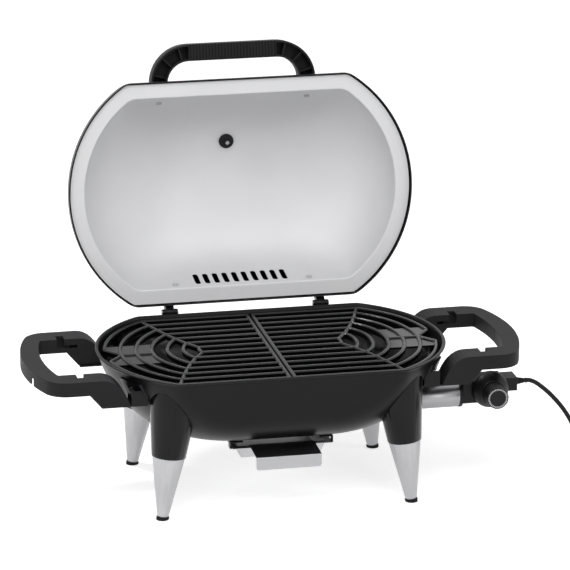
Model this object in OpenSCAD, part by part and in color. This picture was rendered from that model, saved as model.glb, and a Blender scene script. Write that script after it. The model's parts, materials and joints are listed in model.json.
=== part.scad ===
// Electric table grill with a hinged double-walled lid, on four splayed legs.
// X is right, Y is back, Z is up, in millimetres. The lid stands open, as it is at rest.

/* [Bowl] */
// Half the width of the bowl rim
bowl_half_w = 270; // [255:1:285]
// Half the depth of the bowl rim, front to back
bowl_half_d = 171.5; // [164:0.5:180]
// Radius of the round ends of the rim
end_r = 203.5; // [198:0.5:212]
// Height of the rim above the table
rim_z = 227; // [222:1:240]
// Depth of the bowl
bowl_depth = 130; // [122:1:134]
// Wall of the bowl
bowl_wall = 2.5; // [1.5:0.1:4]
// How far the rim bead stands out from the wall
bead_w = 3; // [2:0.5:5]
// Height of the rim bead
bead_h = 3; // [2:0.5:5]
// How far the flat walls lean in, per millimetre
wall_lean = 0.206; // [0.15:0.01:0.25]
// Radius of the drain hole in the bowl floor
drain_r = 12; // [8:1:20]

/* [Grate] */
// Gap between the rim and the outer grate bar
grate_inset = 14.5; // [13:0.1:18]
// Depth of the grate's top below the rim
grate_drop = 3; // [2:0.5:10]
// Bars on each side of the middle
bars_per_side = 7; // [4:1:7]
// Width of one bar
bar_w = 6; // [4:0.5:8]
// Height of one bar
bar_h = 9; // [6:0.5:12]
// Half the width of the notch in each end of the grate
notch_half = 28; // [20:1:34]
// Half the width of the plate at each end of the grate
web_half = 45; // [38:1:50]
// Gap between the two halves
half_gap = 2.5; // [1.5:0.5:5]

/* [Heater and pan] */
// Diameter of the heating tube
heater_d = 7; // [6:0.5:9]
// Height of the heating tube above the table
heater_z = 184; // [180:1:190]
// Height of the pan floor above the table
pan_z = 152; // [148:1:156]
// Depth of the pan flange below the rim
pan_drop = 27; // [24:1:32]
// Sheet of the pan
pan_wall = 1.2; // [0.8:0.1:2]
// Width of the pan flange
pan_flange_w = 7; // [5:1:10]

/* [Lid] */
// Height of the dome inside the lid
dome_h = 118; // [105:1:125]
// Width of the flat flange of the liner
flange_w = 22; // [17:1:26]
// Sheet of the liner
liner_wall = 1.2; // [0.8:0.1:2]
// Sheet of the outer shell
shell_wall = 1.6; // [1:0.1:2.5]
// Space between liner and shell at the crown
crown_gap = 3; // [2:0.5:6]
// Length of the skirt below the flange
skirt_h = 6; // [3:0.5:6]
// Gap between skirt and rim
skirt_gap = 1; // [0.8:0.1:1.4]
// Gap between flange and rim when shut
lid_rest_gap = 0.4; // [0.3:0.1:1]
// How far the lid opens, in degrees
open_deg = 99.5; // [80:0.5:105]
// Number of vent slots
vents = 10; // [4:1:12]
// Spacing of the vent slots
vent_pitch = 15.5; // [12:0.5:16]
// Width of a vent slot
vent_w = 8.6; // [6:0.2:10]
// Length of a vent slot, up the wall
vent_len = 36; // [24:1:40]
// Height of the middle of the vent slots above the flange
vent_z = 33; // [30:1:38]

/* [Lid handle] */
// Width of the handle outside its feet
lid_handle_w = 263; // [221:2:291]
// How far the handle stands out from the lid wall
lid_handle_reach = 64; // [50:1:80]
// Depth of the handle's section
lid_handle_t = 26; // [20:1:32]
// Height of the handle's section
lid_handle_h = 22; // [18:1:26]
// Wall of the handle
lid_handle_wall = 3; // [2:0.5:4]
// Height of the handle's middle above the flange
lid_handle_z = 42; // [38:1:50]
// Outer corner radius of the handle
lid_handle_r = 61; // [45:1:64]
// Ribs on the underside of the grip
grip_ribs = 28; // [10:1:40]
// Width of the ribbed grip
grip_w = 140; // [100:2:150]

/* [Thermometer] */
// Outer radius of the gauge
gauge_r = 26; // [20:1:30]
// Height of the gauge above the lid
gauge_h = 12; // [10:1:16]
// Distance of the gauge in front of the lid's middle
gauge_y = 68; // [55:1:80]
// Radius of the stem
stem_r = 3; // [2:0.5:4]
// Radius of the nut inside the lid
nut_r = 11.7; // [9:0.1:15]

/* [Hinges] */
// Distance of each hinge from the middle
hinge_x = 121; // [100:1:135]
// Distance of the hinge pin behind the rim
hinge_back = 14.8; // [14.5:0.1:18]
// Depth of the hinge pin below the rim
hinge_drop = 1.6; // [1:0.1:1.8]
// Radius of the hinge pin
hinge_pin_r = 2.5; // [2:0.1:3]
// Radius of a hinge knuckle
knuckle_r = 5; // [4:0.1:5.4]
// Width of one hinge over its ears
hinge_w = 24; // [20:1:30]
// Clearance of the pin in its knuckle
pin_clear = 0.05; // [0.02:0.01:0.1]

/* [Legs] */
// Distance of each foot inside the rim's end
foot_in = 76.5; // [72:0.5:84]
// Distance of each foot from the middle, front to back
foot_y = 126.3; // [110:0.5:132]
// Lean of the legs sideways, in degrees
leg_lean_x = 6.3; // [3:0.1:8]
// Lean of the legs front to back, in degrees
leg_lean_y = 3; // [0:0.1:5]
// Length of the silver lower leg
lower_len = 99; // [88:1:105]
// Radius of the lower leg at its top
lower_top_r = 26; // [22:0.5:30]
// Radius of the lower leg at the foot
lower_foot_r = 8.8; // [7:0.2:12]
// Radius of the upper leg where it meets the bowl
upper_top_r = 38.5; // [34:0.5:44]
// Length of the upper leg, before the bowl cuts it
upper_len = 98; // [90:1:110]
// Wall of the legs
leg_wall = 2; // [1.5:0.1:3]
// Height of the rubber foot cap
cap_h = 5; // [4:0.5:8]

/* [Side handles] */
// Reach of each handle beyond the rim
handle_out = 114; // [106:1:126]
// Half the width of each handle
handle_half_w = 125; // [117:1:130]
// Height of the handle's top above the table
handle_top_z = 225; // [222:0.5:227]
// Height of the handle's section
handle_t = 22; // [18:1:26]
// Width of each arm of the handle
handle_band = 40; // [34:1:44]
// Width of the bar that the hand holds
handle_grip = 29; // [24:1:36]
// Radius of the handle's outer curve
handle_r = 285; // [250:5:330]
// Drop of the arms at the bowl
arm_drop = 21; // [16:1:24]
// Wall of the handle moulding
handle_wall = 3; // [2:0.5:4]

/* [Heat control] */
// Distance of the steel sleeve in front of the middle
sleeve_y = 55; // [50:1:58]
// Height of the steel sleeve's axis
sleeve_z = 144.5; // [142:0.5:147]
// Radius of the steel sleeve
sleeve_r = 21; // [20:0.5:22]
// Sheet of the steel sleeve
sleeve_wall = 1.2; // [0.8:0.1:2]
// How far the sleeve ends beyond the rim
sleeve_out = 11.5; // [8:0.5:14]
// Distance of the knob's axis from the sleeve's end
knob_out = 46.5; // [44.5:0.5:50]
// Height of the knob's axis
knob_z = 155; // [153:0.5:156]
// Radius of the round bezel
bezel_r = 28.5; // [26:0.5:29]
// Length of the round bezel
bezel_len = 23; // [20:1:25]
// Radius of the knob cap
knob_r = 17; // [14:0.5:18]
// Length of the knob cap
knob_len = 26; // [22:1:30]
// Width of the control's box, along the cord
box_w = 66; // [62:1:70]
// Depth of the control's box, front to back
box_d = 43; // [40:1:46]
// Height of the control's box
box_h = 35; // [33:1:38]
// Wall of the housing
case_wall = 2.4; // [1.8:0.1:3]
// Diameter of the mains cord
cord_d = 7; // [6.5:0.1:7.4]
// Diameter of the middle of the cord's coil
coil_d = 84; // [80:0.5:84]

/* [Drip tray] */
// Half the width of the tray between its flanges
tray_half_w = 69; // [60:1:72]
// Length of the tray
tray_len = 164; // [150:2:180]
// Drop from the bowl's floor to the tray's flange
tray_drop = 7.5; // [6:0.5:10]
// Depth of the tray
tray_depth = 20.5; // [12:0.5:24]
// Sheet of the tray
tray_wall = 1.2; // [0.8:0.1:2]
// Width of the pull plate
pull_w = 101; // [80:1:120]
// Reach of the pull plate in front of the tray
pull_reach = 53; // [44:1:60]
// Height of the pull plate's front
pull_h = 19; // [14:1:26]

/* [Hidden] */
$fn = 72;

// Seat gap between curved or slanted faces
seat = 0.3;
// Cuts pass right through by this much
eps = 0.5;
// A reach that passes through the whole part
far = 1000;

// ---- Profiles ----
// The bowl's plan: two round ends, a straight stretch, cut flat at front and back.
end_x = bowl_half_w - end_r;
foot_x = bowl_half_w - foot_in;
handle_reach = bowl_half_w + handle_out;
sleeve_end_x = bowl_half_w + sleeve_out;
knob_x = sleeve_end_x + knob_out;
// Roundness of the bowl's section
bowl_m = 1.3;
bowl_n = 3.28;
// Steps round a section
section_steps = 12;
// Where the flat floor begins
floor_deg = 82;

// Radius of the bowl's section at a depth below the rim
function bowl_radius(u, r, d) = r * pow(max(0, 1 - pow(u / d, bowl_m)), 1 / bowl_n);
// Points of the bowl's section, from the floor up
function bowl_section(r, d) = [
  for (i = [section_steps : -1 : 0])
    let (a = floor_deg * i / section_steps)
    [r * pow(cos(a), 2 / bowl_n), -d * pow(sin(a), 2 / bowl_m)]
];

// A solid with round ends and a straight middle, from [radius, height] points
module round_ended(points, x = end_x) {
  low = points[0][1];
  high = points[len(points) - 1][1];
  closed = concat([[0, low]], points, [[0, high]]);
  translate([x, 0, 0])
    rotate([0, 0, -90])
      rotate_extrude(angle = 180) polygon(closed);
  translate([-x, 0, 0])
    rotate([0, 0, 90])
      rotate_extrude(angle = 180) polygon(closed);
  translate([-x, 0, 0])
    rotate([90, 0, 90])
      linear_extrude(2 * x)
        polygon(concat(points, [for (i = [len(points) - 1 : -1 : 0]) [-points[i][0], points[i][1]]]));
}

// A prism along X; its sides are [half depth, height] points
module flat_sided(points) {
  translate([-far / 2, 0, 0])
    rotate([90, 0, 90])
      linear_extrude(far)
        polygon(concat(points, [for (i = [len(points) - 1 : -1 : 0]) [-points[i][0], points[i][1]]]));
}

// The bowl as a solid block, shrunk by a wall, with its rim at height 0
module bowl_block(wall, over = 0) {
  r = end_r - bead_w - wall;
  d = bowl_depth - wall;
  half = bowl_half_d - bead_w - wall;
  lean = wall_lean;
  intersection() {
    round_ended(concat(bowl_section(r, d), over > 0 ? [[r, over]] : []));
    flat_sided([[half - lean * 2 * bowl_depth, -2 * bowl_depth], [half, 0], [half, 20]]);
  }
}

// The rim plan as a flat plate, grown by a margin, from height low to high
module rim_plate(grow, low, high) {
  half = bowl_half_d + grow;
  intersection() {
    round_ended([[end_r + grow, low], [end_r + grow, high]]);
    flat_sided([[half, low - 1], [half, high + 1]]);
  }
}

// ---- Placing the whole part ----
// The origin is on the table, midway between the bowl's front and the open lid's back.
hinge_y = bowl_half_d + hinge_back;
hinge_z = rim_z - hinge_drop;
lid_z = rim_z + lid_rest_gap;
crown_h = dome_h + liner_wall + crown_gap + shell_wall;
shell_r = end_r + skirt_gap + shell_wall;
shell_half = bowl_half_d + skirt_gap + shell_wall;
gauge_w = crown_h * sqrt(1 - pow(gauge_y / shell_r, 2));
gauge_tilt = atan2(gauge_y / pow(shell_r, 2), gauge_w / pow(crown_h, 2));
gauge_top_y = -gauge_y - gauge_h * sin(gauge_tilt);
gauge_top_z = lid_z + gauge_w + gauge_h * cos(gauge_tilt);
lid_back_y = hinge_y + (gauge_top_y - hinge_y) * cos(open_deg) + (gauge_top_z - hinge_z) * sin(open_deg);
shift_y = (lid_back_y - bowl_half_d) / 2;

module placed() {
  translate([0, -shift_y, 0]) children();
}

// Lid pieces are drawn shut and opened here
module lid_placed() {
  placed()
    translate([0, hinge_y, hinge_z])
      rotate([-open_deg, 0, 0])
        translate([0, -hinge_y, -hinge_z]) children();
}

// A tube along Z
module tube(length, outer, inner) {
  difference() {
    cylinder(h = length, r = outer);
    translate([0, 0, -eps]) cylinder(h = length + 2 * eps, r = inner);
  }
}

// A screw along Z with its head's underside at height 0 and its shank below
module screw(head_r, head_h, shank_r, shank_len) {
  cylinder(h = head_h, r = head_r);
  translate([0, 0, -shank_len]) cylinder(h = shank_len + eps, r = shank_r);
}

// ---- Bowl ----
bowl_floor_z = rim_z - bowl_depth * pow(sin(floor_deg), 2 / bowl_m);
wall_r = end_r - bead_w;
wall_half = bowl_half_d - bead_w;
rivet_r = 2.5;
play = 0.2;
leg_bolt_r = 3;

// Half depth of the bowl's flat wall, outside, at a height above the table
function flat_wall_y(z) = wall_half - wall_lean * (rim_z - z);

module bowl() {
  color("#26272a") placed()
    difference() {
      union() {
        translate([0, 0, rim_z]) bowl_block(0);
        rim_plate(0, rim_z - bead_h, rim_z);
      }
      translate([0, 0, rim_z]) bowl_block(bowl_wall, 20);
      translate([0, 0, bowl_floor_z - eps])
        cylinder(h = bowl_wall + 2 * eps, r = drain_r);
      for (side = [-1, 1])
        translate([end_x, -sleeve_y + side * pin_gap, sleeve_z])
          rotate([0, 90, 0]) cylinder(h = far / 2, r = heater_d / 2 + wire_clear);
      for (sx = [-1, 1], sy = [-1, 1]) {
        rivet_at(sx, sy)
          cylinder(h = 30, r = rivet_r + play, center = true);
        leg_bolt_at(sx, sy)
          cylinder(h = 30, r = leg_bolt_r + play, center = true);
      }
      for (side = [-1, 1], tip = [-1, 1])
        bracket_screw_at(side, tip)
          cylinder(h = 16, r = bracket_screw_r + play, center = true);
      for (side = [-1, 1], end = [-1, 1])
        hinge_wall_screw_at(side, end)
          cylinder(h = 16, r = hinge_screw_r + play, center = true);
    }
}

// ---- Grate supports: brackets in the bowl that carry the grate, and the pan below ----
grate_top_z = rim_z - grate_drop;
grate_low_z = grate_top_z - bar_h;
pan_rim_z = rim_z - pan_drop;
pan_gap = 4;
pan_out_r = bowl_radius(pan_drop, wall_r - bowl_wall, bowl_depth - bowl_wall) - pan_gap;
pan_out_half = flat_wall_y(pan_rim_z) - bowl_wall - pan_gap;
support_w = 12;
support_low = 10;
support_turn = 38;

// Section of a support; x is the distance from the end's middle
module support_section(pan_edge) {
  low = pan_rim_z - seat;
  polygon([
    [pan_edge - 5, low - support_low],
    [pan_edge + 60, low - support_low],
    [pan_edge + 60, grate_low_z - seat],
    [pan_edge + 1, grate_low_z - seat],
    [pan_edge + 1, low],
    [pan_edge - 5, low]
  ]);
}

module support_block(pan_edge) {
  translate([0, support_w / 2, 0])
    rotate([90, 0, 0])
      linear_extrude(support_w) support_section(pan_edge);
}

module grate_supports() {
  color("#2b2c2f") placed()
    intersection() {
      union() {
        for (side = [0, 180], turn = [-support_turn, 0, support_turn])
          rotate([0, 0, side])
            translate([end_x, 0, 0])
              rotate([0, 0, turn])
                support_block(pan_out_r);
        for (side = [90, 270])
          rotate([0, 0, side])
            support_block(pan_out_half);
      }
      translate([0, 0, rim_z]) bowl_block(bowl_wall + seat, $fn = 240);
    }
}

// ---- Reflector pan ----
pan_floor_r = 128;
pan_floor_half = 118;
pan_drain_r = 15;
heater_hole_r = heater_d / 2 + 2.5;

module pan_block(inset) {
  floor_z = pan_z + inset;
  side_r = pan_out_r - pan_flange_w - inset;
  side_half = pan_out_half - pan_flange_w - inset;
  intersection() {
    round_ended([
      [pan_floor_r - inset, floor_z],
      [side_r, pan_rim_z],
      [side_r, pan_rim_z + 40 * sign(inset) + eps]
    ]);
    flat_sided([
      [pan_floor_half - inset, floor_z - 10],
      [pan_floor_half - inset, floor_z],
      [side_half, pan_rim_z],
      [side_half, pan_rim_z + 50]
    ]);
  }
}

module reflector_pan() {
  color("#26272a") placed()
    difference() {
      union() {
        pan_block(0);
        intersection() {
          round_ended([[pan_out_r, pan_rim_z], [pan_out_r, pan_rim_z + pan_wall]]);
          flat_sided([[pan_out_half, pan_rim_z - 1], [pan_out_half, pan_rim_z + 9]]);
        }
      }
      pan_block(pan_wall);
      translate([0, 0, pan_z - eps])
        cylinder(h = pan_wall + 2 * eps, r = pan_drain_r);
      translate([riser_x - heater_hole_r - 6, -sleeve_y - pin_gap - heater_hole_r, pan_z - 8])
        cube([60, 2 * (pin_gap + heater_hole_r), heater_z - bend_r - pan_z + 26]);
    }
}

// ---- Heating element: one tube, twice round the pan ----
pin_gap = 9;
wire_clear = 1.5;
bend_r = 15;
riser_x = bowl_half_w - 95;
outer_y = sleeve_y + pin_gap;
inner_y = 30;
west_x = end_x + 33.5;
east_x = riser_x - 57;
heater_pin_r = 2.5;
heater_pin_x = sleeve_end_x - 41.5;
heater_pin_end = sleeve_end_x - 8.5;
flange_t = 3;

// A quarter bend of the tube, from +X up to +Z
module heater_bend(radius, angle) {
  rotate_extrude(angle = angle)
    translate([radius, 0]) circle(d = heater_d, $fn = 32);
}

module heater_run(x0, x1, y, z) {
  translate([min(x0, x1), y, z])
    rotate([0, 90, 0]) cylinder(h = abs(x1 - x0), d = heater_d, $fn = 32);
}

// One leg of the element, from its pin up to the loops
module heater_leg(y) {
  low = sleeve_z;
  heater_run(riser_x + bend_r, heater_pin_x, y, low);
  translate([riser_x + bend_r, y, low + bend_r])
    rotate([90, 0, 0])
      rotate([0, 0, 180]) heater_bend(bend_r, 90);
  translate([riser_x, y, low + bend_r])
    cylinder(h = heater_z - low - 2 * bend_r, d = heater_d, $fn = 32);
  translate([riser_x - bend_r, y, heater_z - bend_r])
    rotate([90, 0, 0]) heater_bend(bend_r, 90);
  translate([heater_pin_x - eps, y, low])
    rotate([0, 90, 0])
      cylinder(h = heater_pin_end - heater_pin_x + eps, r = heater_pin_r, $fn = 32);
}

module heater_element() {
  front_in = -sleeve_y + pin_gap;
  front_out = -outer_y;
  inner_mid = (inner_y + front_in) / 2;
  inner_r = (inner_y - front_in) / 2;
  east_mid = (outer_y + inner_y) / 2;
  color("#54524f") placed() {
    heater_leg(front_in);
    heater_leg(front_out);
    heater_run(-west_x, riser_x - bend_r, front_out, heater_z);
    heater_run(-west_x, riser_x - bend_r, front_in, heater_z);
    heater_run(-west_x, east_x, outer_y, heater_z);
    heater_run(-west_x, east_x, inner_y, heater_z);
    translate([-west_x, 0, heater_z])
      rotate([0, 0, 90]) heater_bend(outer_y, 180);
    translate([-west_x, inner_mid, heater_z])
      rotate([0, 0, 90]) heater_bend(inner_r, 180);
    translate([east_x, east_mid, heater_z])
      rotate([0, 0, -90]) heater_bend((outer_y - inner_y) / 2, 180);
    translate([heater_pin_x, -sleeve_y, sleeve_z])
      rotate([0, 90, 0]) cylinder(h = flange_t, r = sleeve_r - sleeve_wall - seat);
  }
}

// ---- Heater supports ----
saddle_t = 3;
saddle_w = 14;
saddle_foot = 16;
saddle_foot_t = 1.5;
saddle_x = [40, -30, riser_x - 65];

module saddle(x, y, width) {
  foot_z = pan_z + pan_wall;
  translate([x - saddle_foot / 2, y - width / 2, foot_z])
    cube([saddle_foot, width, saddle_foot_t]);
  translate([x - saddle_t / 2, y - width / 2, foot_z])
    cube([saddle_t, width, heater_z - foot_z]);
}

module heater_supports() {
  front_in = -sleeve_y + pin_gap;
  color("#8d8f92") placed()
    difference() {
      union() {
        saddle(0, outer_y, saddle_w);
        saddle(saddle_x[0], inner_y, saddle_w);
        saddle(saddle_x[1], -sleeve_y, saddle_w + 2 * pin_gap);
        saddle(saddle_x[2], -sleeve_y, saddle_w + 2 * pin_gap);
      }
      for (y = [outer_y, inner_y, front_in, -outer_y])
        translate([-far / 2, y, heater_z])
          rotate([0, 90, 0]) cylinder(h = far, r = heater_d / 2 + seat);
    }
}

// ---- Heat shield sleeve round the heater's pins ----
module heat_shield_sleeve() {
  color("#8e9093") placed()
    difference() {
      translate([end_x, -sleeve_y, sleeve_z])
        rotate([0, 90, 0])
          tube(sleeve_end_x - end_x, sleeve_r, sleeve_r - sleeve_wall);
      translate([0, 0, rim_z]) bowl_block(-seat);
    }
}

// ---- Legs ----
cap_r = lower_foot_r + 1;
leg_spigot = 10;
leg_bore_gap = 0.3;
leg_step = 1;
leg_rib = 3;
boss_r = 7;
boss_len = 20;
bolt_head_r = 6;
bolt_head_h = 4;

// The axis of a leg, from the middle of its foot
module leg_at(sx, sy) {
  placed()
    translate([sx * foot_x, sy * foot_y, 0])
      rotate([sy * leg_lean_y, -sx * leg_lean_x, 0])
        children();
}

bolt_u = 80;
bolt_turn = 47.5;
bolt_r = bowl_radius(bolt_u, wall_r, bowl_depth);

// Tilt of the bowl's wall at a drop from the rim
function bowl_tilt(u) =
  atan(bowl_radius(u - 0.5, wall_r, bowl_depth) - bowl_radius(u + 0.5, wall_r, bowl_depth));

module leg_bolt_at(sx, sy) {
  translate([sx * end_x, 0, 0])
    rotate([0, 0, sx > 0 ? sy * bolt_turn : 180 - sy * bolt_turn])
      translate([bolt_r, 0, rim_z - bolt_u])
        rotate([0, 90 + bowl_tilt(bolt_u), 0])
          children();
}

module lower_leg(sx, sy) {
  color("#c3c5c7")
    leg_at(sx, sy)
      difference() {
        union() {
          translate([0, 0, cap_h])
            cylinder(h = lower_len - cap_h, r1 = lower_foot_r, r2 = lower_top_r - leg_step);
          translate([0, 0, lower_len - eps])
            cylinder(h = leg_spigot + eps, r = lower_top_r - leg_wall - leg_bore_gap);
        }
        translate([0, 0, cap_h + leg_wall])
          cylinder(
            h = lower_len - cap_h - leg_wall,
            r1 = lower_foot_r - leg_wall,
            r2 = lower_top_r - 2 * leg_wall - leg_bore_gap
          );
        translate([0, 0, lower_len - eps])
          cylinder(h = leg_spigot + 3 * eps, r = lower_top_r - 2 * leg_wall - leg_bore_gap);
      }
}

module upper_leg(sx, sy) {
  low = lower_len + leg_bore_gap;
  slope = (upper_top_r - lower_top_r) / upper_len;
  high_len = rim_z - bead_h - low - 2;
  top_r = lower_top_r + slope * high_len;
  color("#2a2b2e")
    difference() {
      union() {
        leg_at(sx, sy)
          translate([0, 0, low])
            difference() {
              cylinder(h = high_len, r1 = lower_top_r, r2 = top_r);
              translate([0, 0, -eps])
                cylinder(h = leg_spigot + 2 + eps, r = lower_top_r - leg_wall);
              translate([0, 0, leg_spigot + 1])
                cylinder(h = high_len, r1 = lower_top_r - leg_wall, r2 = top_r - leg_wall);
            }
        intersection() {
          placed() {
            leg_bolt_at(sx, sy)
              cylinder(h = boss_len, r = boss_r);
            leg_bolt_at(sx, sy)
              translate([-far / 4, -leg_rib / 2, -far / 4])
                cube([far / 2, leg_rib, far / 2]);
          }
          leg_at(sx, sy)
            translate([0, 0, low + leg_spigot + 4])
              cylinder(h = high_len - leg_spigot - 4, r1 = lower_top_r - 1, r2 = top_r - 1);
        }
      }
      placed()
        translate([0, 0, rim_z]) bowl_block(-seat);
      placed()
        leg_bolt_at(sx, sy)
          cylinder(h = boss_len - 2, r = leg_bolt_r + 0.05);
    }
}

module foot_caps() {
  color("#1b1b1c")
    difference() {
      for (sx = [-1, 1], sy = [-1, 1])
        leg_at(sx, sy)
          translate([0, 0, -6]) cylinder(h = cap_h + 6 - 0.1, r = cap_r);
      translate([-far / 2, -far / 2, -far]) cube(far);
    }
}

module leg_bolts() {
  color("#9a9c9f") placed()
    for (sx = [-1, 1], sy = [-1, 1])
      leg_bolt_at(sx, sy)
        translate([0, 0, -bowl_wall - 0.4])
          rotate([180, 0, 0])
            screw(bolt_head_r, bolt_head_h, leg_bolt_r, bowl_wall + boss_len - 4);
}

// ---- Side handles ----
arm_bend_x = bowl_half_w + 12;
arm_tip_x = bowl_half_w - 29;
arm_heel_x = bowl_half_w + 14;
arm_heel_run = 18;
arm_end_deg = 65;
handle_corner_r = 35;
handle_inner_corner_r = 4;
handle_inner_r = 320;
handle_low_z = handle_top_z - handle_t;
arm_z = handle_low_z - arm_drop;
slot_x = bowl_half_w + 41;
slot_w = 11.5;
slot_reach = 18;
slot_depth = 15;
slot_leg = 20;
slot_leg_h = 5;
slit_w = 3;
slit_h = 12;

function arc_points(cx, cy, r, a0, a1, n) = [
  for (i = [0 : n])
    let (a = a0 + (a1 - a0) * i / n)
    [cx + r * cos(a), cy + r * sin(a)]
];

// Plan of a D: a big curve, two round corners, and straight sides back to x0
function d_plan(reach, r, half, corner, x0) =
  let (
    mid = reach - r,
    cy = half - corner,
    cx = mid + sqrt(pow(r - corner, 2) - cy * cy),
    turn = atan2(cy, cx - mid)
  )
  concat(
    [[x0, -half]],
    arc_points(cx, -cy, corner, -90, -turn, 10),
    arc_points(mid, 0, r, -turn, turn, 24),
    arc_points(cx, cy, corner, turn, 90, 10),
    [[x0, half]]
  );

// Plan of the handle's band, trimmed by an inset on both edges
module handle_plan(inset, x0) {
  difference() {
    polygon(d_plan(
      handle_reach - inset, handle_r - inset, handle_half_w - inset, handle_corner_r - inset, x0
    ));
    polygon(d_plan(
      handle_reach - handle_grip + inset,
      handle_inner_r + inset,
      handle_half_w - handle_band + inset,
      handle_inner_corner_r + inset,
      x0 - 20
    ));
  }
}

// Side view of the handle: flat on top, and down to the bowl at its arms
module handle_side(inset, low_extra) {
  top = handle_top_z - inset;
  tip = arm_tip_x + inset;
  far_x = handle_reach + 10;
  drop = handle_top_z - arm_z;
  run = arm_bend_x - arm_tip_x;
  polygon(concat(
    [[far_x, top]],
    [for (i = [0 : 8])
      let (
        a = arm_end_deg * i / 8,
        along = sin(a) / sin(arm_end_deg),
        down = (1 - cos(a)) / (1 - cos(arm_end_deg))
      )
      [arm_bend_x - (run - inset) * along, top - (drop - 2) * down]],
    [
      [tip, arm_z - low_extra],
      [arm_heel_x, arm_z - low_extra],
      [arm_heel_x + arm_heel_run, handle_low_z - low_extra],
      [far_x, handle_low_z - low_extra]
    ]
  ));
}

module handle_body(inset, low_extra) {
  intersection() {
    translate([0, 0, arm_z - 20])
      linear_extrude(2 * drop_room) handle_plan(inset, arm_tip_x - 10);
    translate([0, far / 4, 0])
      rotate([90, 0, 0])
        linear_extrude(far / 2) handle_side(inset, low_extra);
  }
}
drop_room = 60;

// The right handle
module side_handle() {
  rib_t = 2.4;
  arm_mid = handle_half_w - handle_band / 2;
  arm_in_y = handle_half_w - handle_band;
  difference() {
    union() {
      difference() {
        handle_body(0, 0);
        handle_body(handle_wall, 15);
      }
      intersection() {
        handle_body(1, 0);
        union() {
          for (side = [-1, 1]) {
            translate([arm_tip_x + 2, side * arm_mid - rib_t / 2, arm_z])
              cube([90, rib_t, 80]);
            for (x = [27, 55, 85])
              translate([arm_tip_x + x, side * arm_mid - handle_band / 2, arm_z])
                cube([rib_t, handle_band, 80]);
            bracket_boss_at(side)
              cylinder(h = 60, r = 6);
          }
          for (turn = [-13, -4, 4, 13])
            translate([handle_reach - handle_r, 0, arm_z])
              rotate([0, 0, turn])
                translate([0, -rib_t / 2, 0]) cube([far / 2, rib_t, 80]);
        }
      }
    }
    for (side = [-1, 1]) {
      bracket_boss_at(side)
        translate([0, 0, -eps]) cylinder(h = 14, r = handle_screw_r + 0.05);
      translate([slot_x - slot_w / 2, side * (arm_in_y + slot_reach / 2 - eps), handle_top_z])
        translate([0, -slot_reach / 2, -handle_wall - eps])
          cube([slot_w, slot_reach, handle_wall + 2 * eps]);
      translate([slot_x - slot_w / 2, side * arm_in_y - 4, handle_top_z - slot_depth])
        cube([slot_w, 8, slot_depth + eps]);
      translate([slot_x - slot_w / 2 - slot_leg, side * arm_in_y - 4, handle_top_z - slot_depth])
        cube([slot_leg + eps, 8, slot_leg_h]);
    }
    translate([handle_reach - handle_r, 0, handle_low_z - eps])
      rotate([0, 0, -12])
        translate([handle_r, 0, 0])
          rotate([0, 0, 113])
            translate([-16, -slit_w / 2, 0]) cube([26, slit_w, slit_h]);
  }
}

module left_side_handle() {
  color("#2d2e31") placed()
    mirror([1, 0, 0]) side_handle();
}

module right_side_handle() {
  color("#2d2e31") placed()
    side_handle();
}

// ---- Handle brackets ----
bracket_t = 2.5;
bracket_low = arm_z - 8;
bracket_high = 214;
bracket_y0 = 80;
bracket_y1 = 120;
bracket_x0 = bowl_half_w - 57;
gusset_end_x = arm_tip_x - 3;
shelf_end_x = arm_bend_x;
boss_x = arm_tip_x + 31;
bracket_screw_r = 2.5;
bracket_screw_z = 202;
handle_screw_r = 2.5;
arm_mid_y = handle_half_w - handle_band / 2;

module bracket_boss_at(side) {
  translate([boss_x, side * arm_mid_y, arm_z]) children();
}

// Screws through the bowl's wall, square to it
module bracket_screw_at(side, tip) {
  drop = rim_z - bracket_screw_z;
  r = bowl_radius(drop, wall_r, bowl_depth);
  turn = asin((arm_mid_y - 8) / r);
  translate([side * end_x, 0, bracket_screw_z])
    rotate([0, 0, side > 0 ? tip * turn : 180 - tip * turn])
      translate([r, 0, 0])
        rotate([0, 90 + bowl_tilt(drop), 0])
          children();
}

module handle_bracket(side, tip) {
  y_low = tip > 0 ? bracket_y0 : -bracket_y1;
  difference() {
    union() {
      intersection() {
        translate([0, 0, rim_z]) bowl_block(-seat - bracket_t);
        translate([side > 0 ? bracket_x0 : -far / 2 - bracket_x0, y_low, bracket_low])
          cube([far / 2, bracket_y1 - bracket_y0, bracket_high - bracket_low]);
      }
      translate([side > 0 ? bracket_x0 : -shelf_end_x, y_low + 2, arm_z - seat - bracket_t])
        cube([shelf_end_x - bracket_x0, bracket_y1 - bracket_y0 - 4, bracket_t]);
      for (edge = [y_low + 2, y_low + bracket_y1 - bracket_y0 - 2 - bracket_t])
        translate([side > 0 ? bracket_x0 : -gusset_end_x, edge, arm_z - seat - bracket_t])
          cube([gusset_end_x - bracket_x0, bracket_t, bracket_high - 8 - arm_z]);
    }
    translate([0, 0, rim_z]) bowl_block(-seat);
    bracket_screw_at(side, tip)
      cylinder(h = 30, r = bracket_screw_r + 0.05, center = true);
    translate([side * boss_x, tip * arm_mid_y, arm_z - 10])
      cylinder(h = 20, r = handle_screw_r + play);
  }
}

module handle_brackets() {
  color("#1f2022") placed()
    for (side = [-1, 1], tip = [-1, 1])
      handle_bracket(side, tip);
}

module handle_screws() {
  color("#8b8d90") placed()
    for (side = [-1, 1], tip = [-1, 1]) {
      translate([side * boss_x, tip * arm_mid_y, arm_z - seat - bracket_t - 0.05])
        rotate([180, 0, 0]) screw(4.5, 3, handle_screw_r, 14);
      bracket_screw_at(side, tip)
        translate([0, 0, -bowl_wall - 0.4])
          rotate([180, 0, 0]) screw(4.5, 2.5, bracket_screw_r, bowl_wall + 5);
    }
}

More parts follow.
